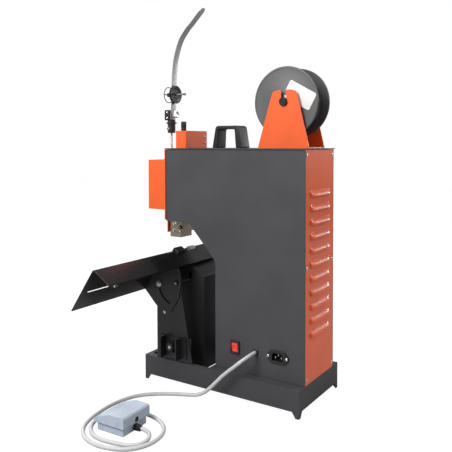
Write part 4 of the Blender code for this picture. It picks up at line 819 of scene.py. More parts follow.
@dataclass
class Studio:
    """Camera, lamps, floor and surroundings.

    Attributes:
        azimuth: of the camera, degrees from -Y towards +X.
        elevation: degrees above the horizon.
        roll: degrees.
        lens: millimetres on a 36 mm sensor.
        shift: of the lens, upwards.
        place: of the camera.
        ambient: strength of the surroundings on the object.
        mirrored: their strength in reflections.
        floor_half: half the floor's side.
        floor_grey: its colour under the object.
        floor_glow: how bright it shines of itself.
        floor_share: how much of that the camera sees.
    """

    azimuth: float = 123.199
    elevation: float = 1.978
    roll: float = -0.119
    lens: float = 48.263
    shift: float = -0.1380
    place: tuple[float, float, float] = (1.0344, 0.6527, 0.4939)
    ambient: float = 0.32
    mirrored: float = 0.40
    floor_half: float = 6.0
    floor_grey: float = 0.42
    floor_glow: float = 1.36
    floor_share: float = 0.70

    def camera(self) -> None:
        """Stand the camera: its back points along (sin a cos e, -cos a cos e, sin e)."""
        turn, lift, roll = (math.radians(value) for value in (self.azimuth, self.elevation, self.roll))
        back = Vector((math.sin(turn) * math.cos(lift), -math.cos(turn) * math.cos(lift), math.sin(lift)))
        right = Vector((math.cos(turn), math.sin(turn), 0))
        up = back.cross(right)
        across = right * math.cos(roll) + up * math.sin(roll)
        over = up * math.cos(roll) - right * math.sin(roll)
        data = bpy.data.cameras.new("camera")
        data.lens = self.lens
        data.sensor_width = 36
        data.shift_y = self.shift
        data.clip_start = 0.02
        made = bpy.data.objects.new("camera", data)
        turned = Matrix((across, over, back)).transposed().to_4x4()
        made.matrix_world = Matrix.Translation(self.place) @ turned
        bpy.context.scene.collection.objects.link(made)
        bpy.context.scene.camera = made

    def lamp(self, name: str, place: tuple[float, float, float], aim: tuple[float, float, float], size: float,
             power: float) -> None:
        """Hang one square soft box.

        Args:
            name: the lamp's name.
            place: where it hangs.
            aim: the point it faces.
            size: of its side.
            power: in watts.
        """
        data = bpy.data.lights.new(name, "AREA")
        data.shape = "SQUARE"
        data.size = size
        data.energy = power
        made = bpy.data.objects.new(name, data)
        made.location = place
        made.rotation_euler = (Vector(aim) - Vector(place)).to_track_quat("-Z", "Y").to_euler()
        bpy.context.scene.collection.objects.link(made)

    def surroundings(self) -> None:
        """White where the camera looks, dimmer in reflections and as a light on the object."""
        world = bpy.data.worlds.new("surroundings")
        bpy.context.scene.world = world
        world.use_nodes = True
        graph = Graph(world.node_tree)
        path = graph.node("LightPath").outputs
        seen = graph.maths("MAXIMUM", path["Is Camera Ray"], path["Is Transmission Ray"])
        glossy = graph.ranged(path["Is Glossy Ray"], 0.0, 1.0, self.ambient, self.mirrored)
        strength = graph.maths("MAXIMUM", seen, glossy)
        shader = graph.node("Background", {"Color": (1, 1, 1, 1), "Strength": strength})
        graph.node("OutputWorld", {"Surface": shader.outputs[0]})

    def floor(self) -> None:
        """A pale floor that stays white but keeps the object's shadow."""
        paint = bpy.data.materials.new("studio_floor")
        paint.use_nodes = True
        graph = Graph(paint.node_tree)
        path = graph.node("LightPath").outputs
        share = graph.maths("MULTIPLY", path["Is Camera Ray"], self.floor_share)
        matt = graph.node("BsdfDiffuse", {"Color": (self.floor_grey, self.floor_grey, self.floor_grey, 1)})
        glow = graph.node("Emission", {"Color": (1, 1, 1, 1), "Strength": self.floor_glow})
        mixed = graph.node("MixShader", {0: share, 1: matt.outputs[0], 2: glow.outputs[0]})
        graph.node("OutputMaterial", {"Surface": mixed.outputs[0]})
        edge = np.array([(-1, -1, 0), (1, -1, 0), (1, 1, 0), (-1, 1, 0)]) * self.floor_half - (0, 0, GAP)
        mesh = bpy.data.meshes.new("studio_floor")
        mesh.from_pydata(edge.tolist(), [], [(0, 1, 2, 3)])
        mesh.materials.append(paint)
        made = bpy.data.objects.new("studio_floor", mesh)
        bpy.context.scene.collection.objects.link(made)

    def build(self) -> None:
        """Set up the whole studio."""
        bpy.context.scene.view_settings.view_transform = "Standard"
        self.camera()
        self.surroundings()
        self.floor()
        self.lamp("key", (1.9, -0.4, 1.8), (0, 0, 0.35), 1.2, 58)
        self.lamp("top", (0.1, -0.1, 2.6), (0, 0, 0), 1.4, 14)
        self.lamp("front", (-0.9, -2.3, 1.4), (0, 0, 0.3), 1.6, 24)
        self.lamp("back", (-1.5, 2.0, 1.7), (0, 0, 0.35), 0.8, 21)
        self.lamp("rim", (-2.45, 0.90, 0.78), (0, 0, 0.35), 0.25, 5)
        LOG.info("studio ready")


@dataclass
class FootCord:
    """The foot switch's cord, from the bush in the side panel to the bush on the pedal.

    Attributes:
        diameter: of the sheath.
        stub: the straight run at each end.
        bush_reach: from the middle of the pedal's bush to its mouth.
        pedal_yaw: the pedal's turn on the floor, degrees.
        steps: points drawn from one of the points below up to the next.
        fall: points of its middle line on the way down to the floor, counted from the machine's centre plane.
        loops: its points on the floor, along X and Y.
        level: of its middle line there.
        rise: its points on the way up to the pedal's bush.
    """

    diameter: float = 0.007
    stub: float = 0.004
    bush_reach: float = 0.007
    pedal_yaw: float = PEDAL_YAW
    steps: int = 6
    fall: tuple[tuple[float, float, float], ...] = (
        (0.0871, 0.0737, 0.0940), (0.0985, 0.0655, 0.0867), (0.1045, 0.0530, 0.0755),
        (0.1090, 0.0310, 0.0560), (0.1120, 0.0110, 0.0350), (0.1120, -0.0080, 0.0175),
        (0.1110, -0.0270, 0.0072))
    loops: tuple[tuple[float, float], ...] = (
        (0.1145, -0.0480), (0.1270, -0.0740), (0.1460, -0.1030), (0.1700, -0.1260), (0.2000, -0.1370),
        (0.2320, -0.1400), (0.2640, -0.1370), (0.2950, -0.1300), (0.3220, -0.1160), (0.3420, -0.0940),
        (0.3520, -0.0650), (0.3500, -0.0330), (0.3370, -0.0040), (0.3140, 0.0130), (0.2850, 0.0170),
        (0.2570, 0.0080), (0.2360, -0.0130), (0.2250, -0.0400), (0.2230, -0.0670), (0.2290, -0.0930),
        (0.2440, -0.1120), (0.2660, -0.1200), (0.2900, -0.1190), (0.3120, -0.1080), (0.3280, -0.0900),
        (0.3350, -0.0680), (0.3340, -0.0450), (0.3300, -0.0230), (0.3253, -0.0084), (0.3150, 0.0018))
    level: float = 0.0037
    rise: tuple[tuple[float, float, float], ...] = (
        (0.3010, 0.0054, 0.0040), (0.2872, 0.0017, 0.0048), (0.2772, -0.0084, 0.0058))

    def middle_line(self) -> np.ndarray:
        """Draw the cord's middle line: a stub out of each bush and a smooth line through all the points.

        Returns:
            The line's points, array of shape (count, 3).
        """
        bush_low, bush_high = corners("cable_gland")
        start = np.array([bush_high[0] + GAP, *(bush_low[1:] + bush_high[1:]) / 2])
        yaw = math.radians(self.pedal_yaw)
        along = np.array([-math.sin(yaw), math.cos(yaw), 0])
        end = centre("pedal_gland") + along * (self.bush_reach + GAP)
        lead_out = start + np.array([self.stub, 0, 0])
        lead_in = end + along * self.stub
        lying = [(*point, self.level) for point in self.loops]
        inner = np.array([*self.fall, *lying, *self.rise]) + np.array([MIDDLE, 0, 0])
        curve = catmull_rom(np.vstack([lead_out, inner, lead_in]), self.steps)
        return np.vstack([start, curve, lead_in, end])

    def build(self) -> None:
        """Lay the cord as a round sheath on its middle line."""
        line = self.middle_line()
        curve = bpy.data.curves.new("foot_cord_sheath", "CURVE")
        curve.dimensions = "3D"
        curve.bevel_depth = self.diameter / 2
        curve.bevel_resolution = 5
        curve.use_fill_caps = True
        spline = curve.splines.new("POLY")
        spline.points.add(len(line) - 1)
        spline.points.foreach_set("co", np.column_stack([line, np.ones(len(line))]).ravel())
        spline.use_smooth = True
        curve.materials.append(SHEATH.material())
        made = bpy.data.objects.new("foot_cord_sheath", curve)
        bpy.context.scene.collection.objects.link(made)
        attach(made, "machine")
        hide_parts("foot_cord")


# ---------------------------------------------------------------- turned parts
def rows(*parts: np.ndarray) -> np.ndarray:
    """Join runs of profile points into one profile."""
    return np.concatenate([np.asarray(part, float).reshape(-1, 2) for part in parts])


def flipped(side: np.ndarray) -> np.ndarray:
    """Return a profile run backwards with its heights turned about zero."""
    return side[::-1] * np.array([1, -1])


def flutes(count: int, depth: float, sharpness: float = 1.0) -> Ripple:
    """Make a ripple of -depth * |sin(count t / 2)| ** sharpness, which fades where the radius is small.

    Args:
        count: flutes in one turn.
        depth: of a flute.
        sharpness: under 1 the ridges are narrow, over 1 the grooves are.

    Returns:
        The ripple, for lathe.
    """
    def ripple(radius: np.ndarray, height: np.ndarray, turn: np.ndarray) -> np.ndarray:
        """Return the change of radius at each row and angle."""
        share = np.clip(radius / radius.max(), 0, 1) ** 8
        return -depth * share * np.abs(np.sin(count * turn / 2)) ** sharpness + 0 * height
    return ripple


def hexagon(across: float, low: float, high: float, axis: str, place: np.ndarray) -> Surface:
    """Make a chamfered nut or bolt head.

    Its radius is cos(30 deg) / cos(t mod 60 deg - 30 deg) times the corner radius.

    Args:
        across: its size across the flats.
        low: the lower face, along the axis.
        high: the upper face.
        axis: "X", "Y" or "Z".
        place: the point the two faces count from.

    Returns:
        The skin.
    """
    corner, chamfer = across / math.sqrt(3), 0.0006
    profile = [(corner * 0.05, low), (corner * 0.86, low), (corner, low + chamfer), (corner, high - chamfer),
               (corner * 0.86, high), (corner * 0.05, high)]

    def ripple(radius: np.ndarray, height: np.ndarray, turn: np.ndarray) -> np.ndarray:
        """Return the flats' distance inside the corner circle, on the rows that reach past them."""
        flat = corner * math.cos(math.pi / 6) / np.cos(np.mod(turn, math.pi / 3) - math.pi / 6)
        return np.minimum(radius, flat) - radius
    return lathe(profile, axis, place, 48, ripple=ripple)


def thread(radius: float, low: float, high: float, pitch: float, axis: str, place: np.ndarray) -> Surface:
    """Make a threaded rod, whose radius is lowered by a helical wave of the pitch.

    Args:
        radius: over the crests.
        low: one end, along the axis.
        high: the other end.
        pitch: of the thread.
        axis: "X", "Y" or "Z".
        place: the point the two ends count from.

    Returns:
        The skin.
    """
    per_turn, depth = 6, 0.35 * pitch
    count = max(int((high - low) / pitch * per_turn), 2 * per_turn)
    heights = np.linspace(low, high, count)
    flank = np.column_stack([np.full(count, radius), heights])
    profile = rows([(radius * 0.1, low)], flank, [(radius * 0.1, high)])

    def ripple(given: np.ndarray, height: np.ndarray, turn: np.ndarray) -> np.ndarray:
        """Return the helical wave, nothing at the two ends."""
        wave = np.cos(2 * math.pi * height / pitch - turn) * 0.5 - 0.5
        return np.where(given > radius * 0.5, wave * depth, 0)
    return lathe(profile, axis, place, 24, ripple=ripple)


# ---------------------------------------------------------------- sub-assemblies
@dataclass
class SpoolUnit:
    """Wire spool on its axle between the bracket's cheeks.

    Attributes:
        flange: thickness of each flange.
        hub: radius the wire is wound on.
        bore: radius of the hole for the axle.
        pitch: between two turns of wire.
        label: length and height of the blank label.
        label_offset: from the axle, along Y and Z.
        label_turn: the label's slope in degrees.
        cap: length of the axle's cap outside each cheek.
        screw: radius of the bracket's screws.
        screw_margin: from the bracket's sides and ends to its screws.
        bracket_sheet: height of those screws' seats over the roof.
    """

    flange: float = 0.003
    hub: float = 0.026
    bore: float = 0.0052
    pitch: float = 0.0014
    label: tuple[float, float] = (0.0605, 0.0340)
    label_offset: tuple[float, float] = (0.0293, 0.0115)
    label_turn: float = -28.7
    cap: float = 0.0044
    screw: float = 0.0034
    screw_margin: tuple[float, float] = (0.016, 0.018)
    bracket_sheet: float = 0.0021

    def moulding(self) -> None:
        """Flanges with beaded rims and a ring round the bore, on one hub, and the blank label."""
        half, _, radius = spans("wire_spool") / 2
        place, inner, bore = centre("wire_spool"), half - self.flange, self.bore
        side = np.array([(self.hub, inner), (radius - 0.0030, inner), (radius - 0.0022, inner - 0.0006),
                         (radius - 0.0007, inner - 0.0006), (radius, inner), (radius, half - 0.0010),
                         (radius - 0.0004, half - 0.0003), (radius - 0.0012, half), (radius - 0.0032, half),
                         (radius - 0.0038, half - 0.0006), (0.0225, half - 0.0006), (0.0215, half),
                         (0.0130, half), (0.0122, half - 0.0008), (bore + 0.0006, half - 0.0008),
                         (bore, half - 0.0014)])
        skin = lathe(rows(flipped(side), side), "X", place, 160, ring=True)
        piece = Piece("spool_moulding").add(skin, SPOOL)
        turn = math.radians(self.label_turn)
        spin = np.array([[math.cos(turn), math.sin(turn)], [-math.sin(turn), math.cos(turn)]])
        outline = box_outline(*self.label, 0.0035) @ spin + np.array(self.label_offset) + place[1:]
        face = corners("wire_spool")[1][0] - 0.0006
        piece.add(slab(outline, "YZ", face, face + 0.0003, 0.0001), LABEL)
        piece.build("spool", "wire_spool", ("wire_spool",))

    def wound_wire(self) -> None:
        """Wire wound in a close helix: each turn bulges by half its pitch."""
        half, _, radius = spans("wire_winding") / 2
        pitch = self.pitch
        count = int(2 * half / pitch) * 6
        outer = np.column_stack([np.full(count, radius), np.linspace(-half, half, count)])
        core = [(self.hub + GAP, half), (self.hub + GAP, -half)]

        def ripple(given: np.ndarray, height: np.ndarray, turn: np.ndarray) -> np.ndarray:
            """Return the bulge of the helix on the outer rows only."""
            bulge = np.abs(np.cos(math.pi * height / pitch + turn / 2)) - 1
            return np.where(given > radius * 0.9, bulge * pitch * 0.5, 0)
        skin = lathe(rows(outer, core), "X", centre("wire_winding"), 96, ring=True, ripple=ripple)
        Piece("wound_wire").add(skin, DARK_WIRE).build("spool", "wire_winding", ("wire_winding",))

    def axle(self) -> None:
        """Axle with a turned cap outside each cheek."""
        end, _, radius = spans("spool_axle") / 2
        cap = end - self.cap
        side = np.array([(0.0050, cap), (radius - 0.0005, cap), (radius, cap + 0.0006),
                         (radius, end - 0.0012), (radius - 0.0010, end), (0.0030, end),
                         (0.0022, end - 0.0009), (0.0004, end - 0.0009)])
        skin = lathe(rows(flipped(side), side), "X", centre("spool_axle"), 64)
        Piece("axle_with_caps").add(skin, BLACK_SCREW).build("machine", "spool_axle", ("spool_axle",))

    def bracket_screws(self) -> None:
        """Screws that hold the bracket's floor to the roof, between the flanges."""
        low, high = corners("spool_bracket")
        across, along = self.screw_margin
        places = [np.array([x, y, low[2] + self.bracket_sheet]) for x in (low[0] + across, high[0] - across)
                  for y in (low[1] + along, high[1] - along)]
        Piece("bracket_screws").screws(places, (0, 0, 1), self.screw).build("machine", "spool_bracket")

    def build(self) -> None:
        """Build the whole spool."""
        self.moulding()
        self.wound_wire()
        self.axle()
        self.bracket_screws()


@dataclass
class LouvredPanel:
    """Rear cover with a column of pressed hoods that open downwards.

    Attributes:
        count: of hoods.
        pitch: between them.
        top: level of the first hood's upper edge.
        half: half its width.
        rise: its height.
        out: how far its lip stands off the sheet.
        sheet: thickness of the metal.
        skin: thickness of a hood, thinned by the pressing.
        reach: half the width of the slit under it.
        slit: from a hood's lower edge up to the slit, and from its upper edge down to it.
        screw: radius of the panel's screws.
        screw_margin: from the panel's sides and ends to its screws.
    """

    count: int = 11
    pitch: float = 0.0260
    top: float = 0.4060
    half: float = 0.0415
    rise: float = 0.0110
    out: float = 0.0062
    sheet: float = 0.0020
    skin: float = 0.0012
    reach: float = 0.0400
    slit: tuple[float, float] = (0.0004, 0.0035)
    screw: float = 0.0032
    screw_margin: tuple[float, float] = (0.0055, 0.0100)

    def levels(self) -> np.ndarray:
        """Return the upper level of each hood."""
        return self.top - self.pitch * np.arange(self.count)

    def hood(self, level: float, face: float) -> Surface:
        """Make one hood.

        Across it s runs from -1 to 1 and down it t from 0 to 1. Its outer skin stands off the sheet by
        out * (1 - |s| ** 10) ** 0.5 * sin(t * 90 deg) ** 0.9, its inner skin a metal thickness less.

        Args:
            level: of its upper edge.
            face: the sheet's outer face, along Y.

        Returns:
            The skin.
        """
        s = np.sin(np.linspace(-math.pi / 2, math.pi / 2, 41))[:, None]
        t = np.linspace(0, 1, 10)[None, :]
        swell = np.sqrt(np.clip(1 - np.abs(s) ** 10, 0, 1)) * np.sin(t * math.pi / 2) ** 0.9
        outer = np.stack([MIDDLE + s * self.half + 0 * t, face + self.out * swell,
                          level - self.rise * t + 0 * s], -1)
        inner = outer.copy()
        inner[..., 1] -= self.skin
        inner[..., 0] = MIDDLE + (inner[..., 0] - MIDDLE) * 0.985
        return grid(np.concatenate([outer, inner[:, ::-1]], axis=1))

    def build(self) -> None:
        """Build the sheet with its slits, the hoods and the screws at its edges."""
        low, high = corners("back_panel")
        face = float(low[1]) + self.sheet
        levels = self.levels()
        under, over = self.slit
        cuts = np.sort(np.concatenate([levels - self.rise + under, levels - over]))
        lines_u = np.array([low[0], MIDDLE - self.reach, MIDDLE + self.reach, high[0]])
        lines_v = np.concatenate([[low[2]], cuts, [high[2]]])
        solid = np.ones((3, len(lines_v) - 1), bool)
        solid[1, 1::2] = False
        sheet = pierced(lines_u, lines_v, solid, "XZ", float(low[1]), face)
        piece = Piece("louvred_panel").add(sheet, ORANGE)
        for level in levels:
            piece.add(self.hood(float(level), face), ORANGE)
        across, along = self.screw_margin
        zs = (low[2] + along, (low[2] + high[2]) / 2, high[2] - along)
        places = [np.array([x, face, z]) for x in (low[0] + across, high[0] - across) for z in zs]
        piece.screws(places, (0, 1, 0), self.screw)
        piece.build("machine", "back_panel", ("back_panel",))


@dataclass
class Housing:
    """Side panels, roof and base: their screws, and the carrying handle.

    Attributes:
        screw: radius of the panel screws.
        grip: thickness of the handle's bar.
        edge_margin: from the left side panel's rear edge to its screws.
        edge_levels: heights of those screws.
        roof_reach: from the centre plane to the roof's screws.
        roof_stations: their places along Y.
        lug_bolt: size of the base's bolts across the flats, and their height.
        lug_margin: from the base's sides to its bolts.
        lug_place: the bolts' Y, and the level they stand on.
    """

    screw: float = 0.0026
    grip: float = 0.0068
    edge_margin: float = 0.010
    edge_levels: tuple[float, ...] = (0.062, 0.27, 0.470)
    roof_reach: float = 0.052
    roof_stations: tuple[float, ...] = (-0.085, 0.04)
    lug_bolt: tuple[float, float] = (0.008, 0.0035)
    lug_margin: float = 0.018
    lug_place: tuple[float, float] = (-0.165, 0.051)

    def handle(self) -> None:
        """Bridge handle: a trapezoid with leaning ends, softened all round."""
        low, high = corners("carry_handle")
        (_, front, foot), (_, back, top) = low, high
        under = top - self.grip
        outline = softened([(front, foot, 0.0030), (front + 0.0085, top, 0.0070),
                            (back - 0.0080, top, 0.0070), (back, foot, 0.0030),
                            (back - 0.0145, foot, 0.0030), (back - 0.0175, under, 0.0045),
                            (front + 0.0140, under, 0.0045), (front + 0.0125, foot, 0.0030)])
        piece = Piece("bridge_handle").add(slab(outline, "YZ", low[0], high[0], 0.0014, 5), BLACK)
        piece.build("machine", "carry_handle", ("carry_handle",))

    def seams(self) -> None:
        """Screws along the left side panel's rear edge and on the roof."""
        low, high = corners("side_panel_left")
        places = [np.array([low[0], high[1] - self.edge_margin, z]) for z in self.edge_levels]
        piece = Piece("panel_screws").screws(places, (-1, 0, 0), self.screw, BLACK_SCREW)
        roof = corners("top_plate")[1][2]
        places = [np.array([MIDDLE + side * self.roof_reach, y, roof]) for side in (-1, 1)
                  for y in self.roof_stations]
        piece.screws(places, (0, 0, 1), self.screw, BLACK_SCREW).build("machine", "top_plate")

    def base_bolts(self) -> None:
        """Hexagon bolts on the base's two lugs."""
        low, high = corners("base_plinth")
        piece = Piece("base_bolts")
        across, height = self.lug_bolt
        for x in (low[0] + self.lug_margin, high[0] - self.lug_margin):
            piece.add(hexagon(across, 0, height, "Z", np.array([x, *self.lug_place])), BLACK_SCREW)
        piece.build("machine", "base_plinth")

    def build(self) -> None:
        """Build the housing's details."""
        self.handle()
        self.seams()
        self.base_bolts()


@dataclass
class StitchingHead:
    """Adjusting knob, the former block's fittings, and the orange covers' screws.

    Attributes:
        flute_count: flutes round the knob.
        bolt: radius of the former's socket bolts.
        side_plates: each plate on the former's right side as the Y and Z of its two corners, counted from the
            block's low corner, and its thickness.
        bosses: each boss there as Y and Z, counted the same way, the thickness it stands on, and its finish.
        strip_span: inner and outer edge of the orange edge strips, from the centre plane.
        strip_depth: their front and rear face along Y.
        strip_levels: their lower and upper end.
        cover_screw: radius of the front cover's screws.
        top_screw: radius of the top cover's screws.
    """

    flute_count: int = 18
    bolt: float = 0.0030
    side_plates: tuple[tuple[tuple[float, float], tuple[float, float], float], ...] = (
        ((0.0135, 0.0120), (0.0255, 0.0385), 0.0016), ((0.0258, 0.0165), (0.0352, 0.0385), 0.0030))
    bosses: tuple[tuple[float, float, float, Finish], ...] = (
        (0.0195, 0.0320, 0.0016, PLATED), (0.0305, 0.0225, 0.0030, BLACK_SCREW))
    strip_span: tuple[float, float] = (0.0585, 0.0659)
    strip_depth: tuple[float, float] = (-0.1420, -0.1402)
    strip_levels: tuple[float, float] = (0.3345, 0.4800)
    cover_screw: float = 0.0028
    top_screw: float = 0.0026

    def knob(self) -> None:
        """Knob on a plain stem through the orange top cover, fluted round its grip."""
        low, high = corners("adjust_knob")
        seat, top, radius = corners("head_top_cover")[1][2] + GAP, high[2], spans("adjust_knob")[0] / 2
        profile = [(0.0004, low[2]), (0.0029, low[2]), (0.0029, seat), (radius * 0.8, seat),
                   (radius, seat + 0.0010), (radius, seat + 0.0045), (radius * 0.93, seat + 0.0052),
                   (radius * 0.93, seat + 0.0064), (radius, seat + 0.0070), (radius, top - 0.0018),
                   (radius * 0.90, top - 0.0006), (radius * 0.75, top), (radius * 0.3, top - 0.0003),
                   (0.0004, top - 0.0003)]
        grip = flutes(self.flute_count, 0.0006, 0.7)
        skin = lathe(profile, "Z", on_line("adjust_knob", "Z"), 144, ripple=grip)
        Piece("fluted_knob").add(skin, BLACK).build("knob", "adjust_knob", ("adjust_knob",))

    def former(self) -> None:
        """Socket bolts, stepped plates and two bosses on the former's right side, and nuts on its front."""
        low, high = corners("former_block")
        bolt, edge = self.bolt, 0.0004
        head = [(0.0003, 0), (bolt, 0), (bolt, 0.0024), (bolt - 0.0004, 0.0029), (bolt * 0.55, 0.0029),
                (bolt * 0.5, 0.0012), (0.0003, 0.0012)]
        socket = [(0.0018, 0.0004), (0.0018, 0.0030), (0.0024, 0.0034), (0.0038, 0.0034), (0.0042, 0.0028),
                  (0.0042, 0), (0.0018, 0)]
        pin = [(0.0003, 0), (0.0016, 0), (0.0016, 0.0036), (0.0012, 0.0040), (0.0003, 0.0040)]
        piece = Piece("former_bolts")
        for z in (low[2] + 0.014, low[2] + 0.028):
            for y in (low[1] + 0.0100, high[1] - 0.0080):
                piece.add(lathe(head, "X", np.array([high[0], y, z]), 32), PLATED)
        for x in (low[0] + 0.008, high[0] - 0.008):
            piece.add(hexagon(0.0070, -0.0028, 0, "Y", np.array([x, low[1], low[2] + 0.0045])), PLATED)
        for near, far, thick in self.side_plates:
            plate_low = np.array([high[0], *(low[1:] + near)])
            plate_high = np.array([high[0] + thick, *(low[1:] + far)])
            piece.add(pad(plate_low, plate_high, "YZ", 0.0012, edge), WARM_STEEL)
        for y, z, out, finish in self.bosses:
            place = np.array([high[0] + out, low[1] + y, low[2] + z])
            piece.add(lathe(socket, "X", place, 40, ring=True), finish)
            piece.add(lathe(pin, "X", place, 24), PLATED)
        piece.build("machine", "former_block")

    def edge_strips(self) -> None:
        """Orange strip down each side of the front bearing plate."""
        piece = Piece("front_edge_strips")
        front, rear = self.strip_depth
        foot, top = self.strip_levels
        for side in (-1, 1):
            inner, outer = sorted(MIDDLE + side * edge for edge in self.strip_span)
            strip = pad(np.array([inner, front, foot]), np.array([outer, rear, top]), "XZ", 0.0006, 0.0003)
            piece.add(strip, ORANGE)
        piece.build("machine", "front_bearing_plate")

    def cover_screws(self) -> None:
        """Screws on the front cover's left side and top, and on the top cover's rear."""
        low, high = corners("head_front_cover")
        piece = Piece("cover_screws")
        piece.screws([np.array([low[0], high[1] - 0.012, z]) for z in (low[2] + 0.014, high[2] - 0.014)],
                     (-1, 0, 0), self.cover_screw)
        piece.screws([np.array([x, low[1] + 0.030, high[2]]) for x in (low[0] + 0.014, high[0] - 0.014)],
                     (0, 0, 1), self.cover_screw)
        piece.build("machine", "head_front_cover")
        low, high = corners("head_top_cover")
        places = [np.array([low[0] + 0.008, high[1], z]) for z in (low[2] + 0.010, low[2] + 0.024)]
        Piece("top_cover_screws").screws(places, (0, 1, 0), self.top_screw).build("machine", "head_top_cover")

    def build(self) -> None:
        """Build the head's details."""
        self.knob()
        self.former()
        self.edge_strips()
        self.cover_screws()


@dataclass
class WireGuide:
    """Spring strip, clamp, tension disc, hoop and nuts above the head.

    Attributes:
        thick: of the strip.
        half: half its width.
        route: its middle line as Y and the height above the clamp.
        hoop_station: the wire hoop's place along Y.
        hoop_wire: radius of its wire.
        clamp_station: the clamp's place along Y.
        jaw_depth: front and rear face of the clamp's jaw along Y.
        nut_station: where the thumb nut's heights count from, along Y.
        stud_foot: level of the stud's lower nut.
        knurls: round the thumb nut.
    """

    thick: float = 0.0014
    half: float = 0.0085
    route: tuple[tuple[float, float], ...] = (
        (-0.1705, 0.0008), (-0.1690, 0.0262), (-0.1676, 0.0620), (-0.1658, 0.0982), (-0.1605, 0.1337),
        (-0.1480, 0.1681), (-0.1310, 0.1900), (-0.1194, 0.2005), (-0.1031, 0.2162), (-0.0870, 0.2316))
    hoop_station: float = -0.1815
    hoop_wire: float = 0.0009
    clamp_station: float = -0.1745
    jaw_depth: tuple[float, float] = (-0.1860, -0.1718)
    nut_station: float = -0.1684
    stud_foot: float = 0.4583
    knurls: int = 40

    def strip(self) -> None:
        """The strip: a rounded oblong section carried along a Catmull-Rom line, narrowed to a round tip."""
        foot = corners("guide_strip")[0][2] - self.route[0][1] + 0.0001
        knots = np.array(self.route) + np.array([0, foot])
        line = np.vstack([catmull_rom(knots, 10), knots[-1]])
        tangent = np.gradient(line, axis=0)
        tangent = tangent / np.linalg.norm(tangent, axis=1, keepdims=True)
        normal = np.stack([-tangent[:, 1], tangent[:, 0]], -1)
        width = np.full(len(line), 1.0)
        width[-6:] = np.sqrt(1 - (np.linspace(0, 1, 6) * 0.86) ** 2)
        section = box_outline(2 * self.half, self.thick, self.thick * 0.4, 3)
        points = np.zeros((len(line), len(section), 3))
        points[..., 0] = MIDDLE + section[None, :, 0] * width[:, None]
        points[..., 1:] = line[:, None] + normal[:, None] * section[None, :, 1:2]
        Piece("spring_strip").add(grid(points), SPRING).build("machine", "guide_strip", ("guide_strip",))

    def disc(self) -> None:
        """Disc with a groove round its rim and a raised ring on each face."""
        _, half, radius = spans("tension_disc") / 2
        side = np.array([(radius - 0.0008, half), (radius - 0.0050, half), (radius - 0.0062, half - 0.0009),
                         (0.0090, half - 0.0009), (0.0080, half), (0.0038, half), (0.0023, half - 0.0006)])
        groove = np.array([(radius, half - 0.0008), (radius, 0.0012), (radius - 0.0020, 0), (radius, -0.0012),
                           (radius, 0.0008 - half)])
        profile = rows(side[::-1], groove, flipped(side)[::-1])
        skin = lathe(profile, "Y", centre("tension_disc"), 96, ring=True)
        Piece("grooved_disc").add(skin, BLACK).build("disc", "tension_disc", ("tension_disc",))

    def hoop(self) -> None:
        """Wire hoop with a spoke to each side of its hub."""
        place = centre("guide_hoop")
        ahead = np.array([0, 1, 0])
        turn = np.linspace(0, 2 * math.pi, 96, endpoint=False)
        ring = spans("guide_hoop")[2] / 2 - self.hoop_wire
        path = place + np.stack([ring * np.cos(turn), 0 * turn, ring * np.sin(turn)], -1)
        path[:, 1] = self.hoop_station
        spoke = np.column_stack([np.linspace(-ring, ring, 9) + place[0], np.full(9, self.hoop_station),
                                 np.full(9, place[2])])
        hub = [(0.0024, -0.0023), (0.0042, -0.0023), (0.0045, -0.0020), (0.0045, 0.0020), (0.0042, 0.0023),
               (0.0024, 0.0023)]
        piece = Piece("wire_hoop").add(tube(path, self.hoop_wire, 12, ahead, closed=True), BLACK)
        for run in (spoke[:4], spoke[-4:]):
            piece.add(tube(run, 0.0010, 10, ahead), BLACK)
        hub_place = np.array([place[0], self.hoop_station + 0.0001, place[2]])
        piece.add(lathe(hub, "Y", hub_place, 40, ring=True), BLACK)
        piece.build("machine", "guide_hoop", ("guide_hoop",))

    def tension_bolt(self) -> None:
        """Threaded screw through the disc and the hoop, with its head behind."""
        low, high = corners("tension_screw")
        place, head = on_line("tension_screw", "Y"), high[1] - 0.0025
        piece = Piece("tension_bolt").add(thread(0.0020, low[1], head, 0.0008, "Y", place), DULL_STEEL)
        piece.add(hexagon(0.0052, head, high[1], "Y", place), DULL_STEEL)
        piece.build("machine", "tension_screw", ("tension_screw",))

    def clamp(self) -> None:
        """Stepped clamp with a collar, its jaw, two nuts and the jaw's screws."""
        low, high = corners("guide_clamp")
        place = np.array([MIDDLE, self.clamp_station, 0])
        bottom, shoulder = low[2], low[2] + 0.0285
        profile = [(0.0031, bottom + 0.012), (0.0031, bottom), (0.0075, bottom), (0.0085, bottom + 0.0010),
                   (0.0085, bottom + 0.0195), (0.0110, bottom + 0.0200), (0.0110, bottom + 0.0235),
                   (0.0085, bottom + 0.0240), (0.0085, shoulder - 0.0008), (0.0078, shoulder),
                   (0.0004, shoulder), (0.0004, bottom + 0.012)]
        piece = Piece("strip_clamp").add(lathe(profile, "Z", place, 120), BLACK)
        front, rear = self.jaw_depth
        jaw_low = np.array([MIDDLE - 0.0100, front, shoulder - 0.001])
        jaw_high = np.array([MIDDLE + 0.0100, rear, high[2]])
        piece.add(pad(jaw_low, jaw_high, "XZ", 0.0020, 0.0006), BLACK)
        side_nut = np.array([MIDDLE + 0.0085, self.clamp_station, bottom + 0.009])
        piece.add(hexagon(0.0060, 0, 0.0028, "X", side_nut), PLATED)
        front_nut = np.array([MIDDLE, self.clamp_station - 0.0085, bottom + 0.010])
        piece.add(hexagon(0.0060, -0.0028, 0, "Y", front_nut), PLATED)
        places = [np.array([jaw_high[0], self.clamp_station - 0.0045, shoulder + rise])
                  for rise in (0.004, 0.0165)]
        piece.screws(places, (1, 0, 0), 0.0022)
        piece.build("machine", "guide_clamp", ("guide_clamp",))

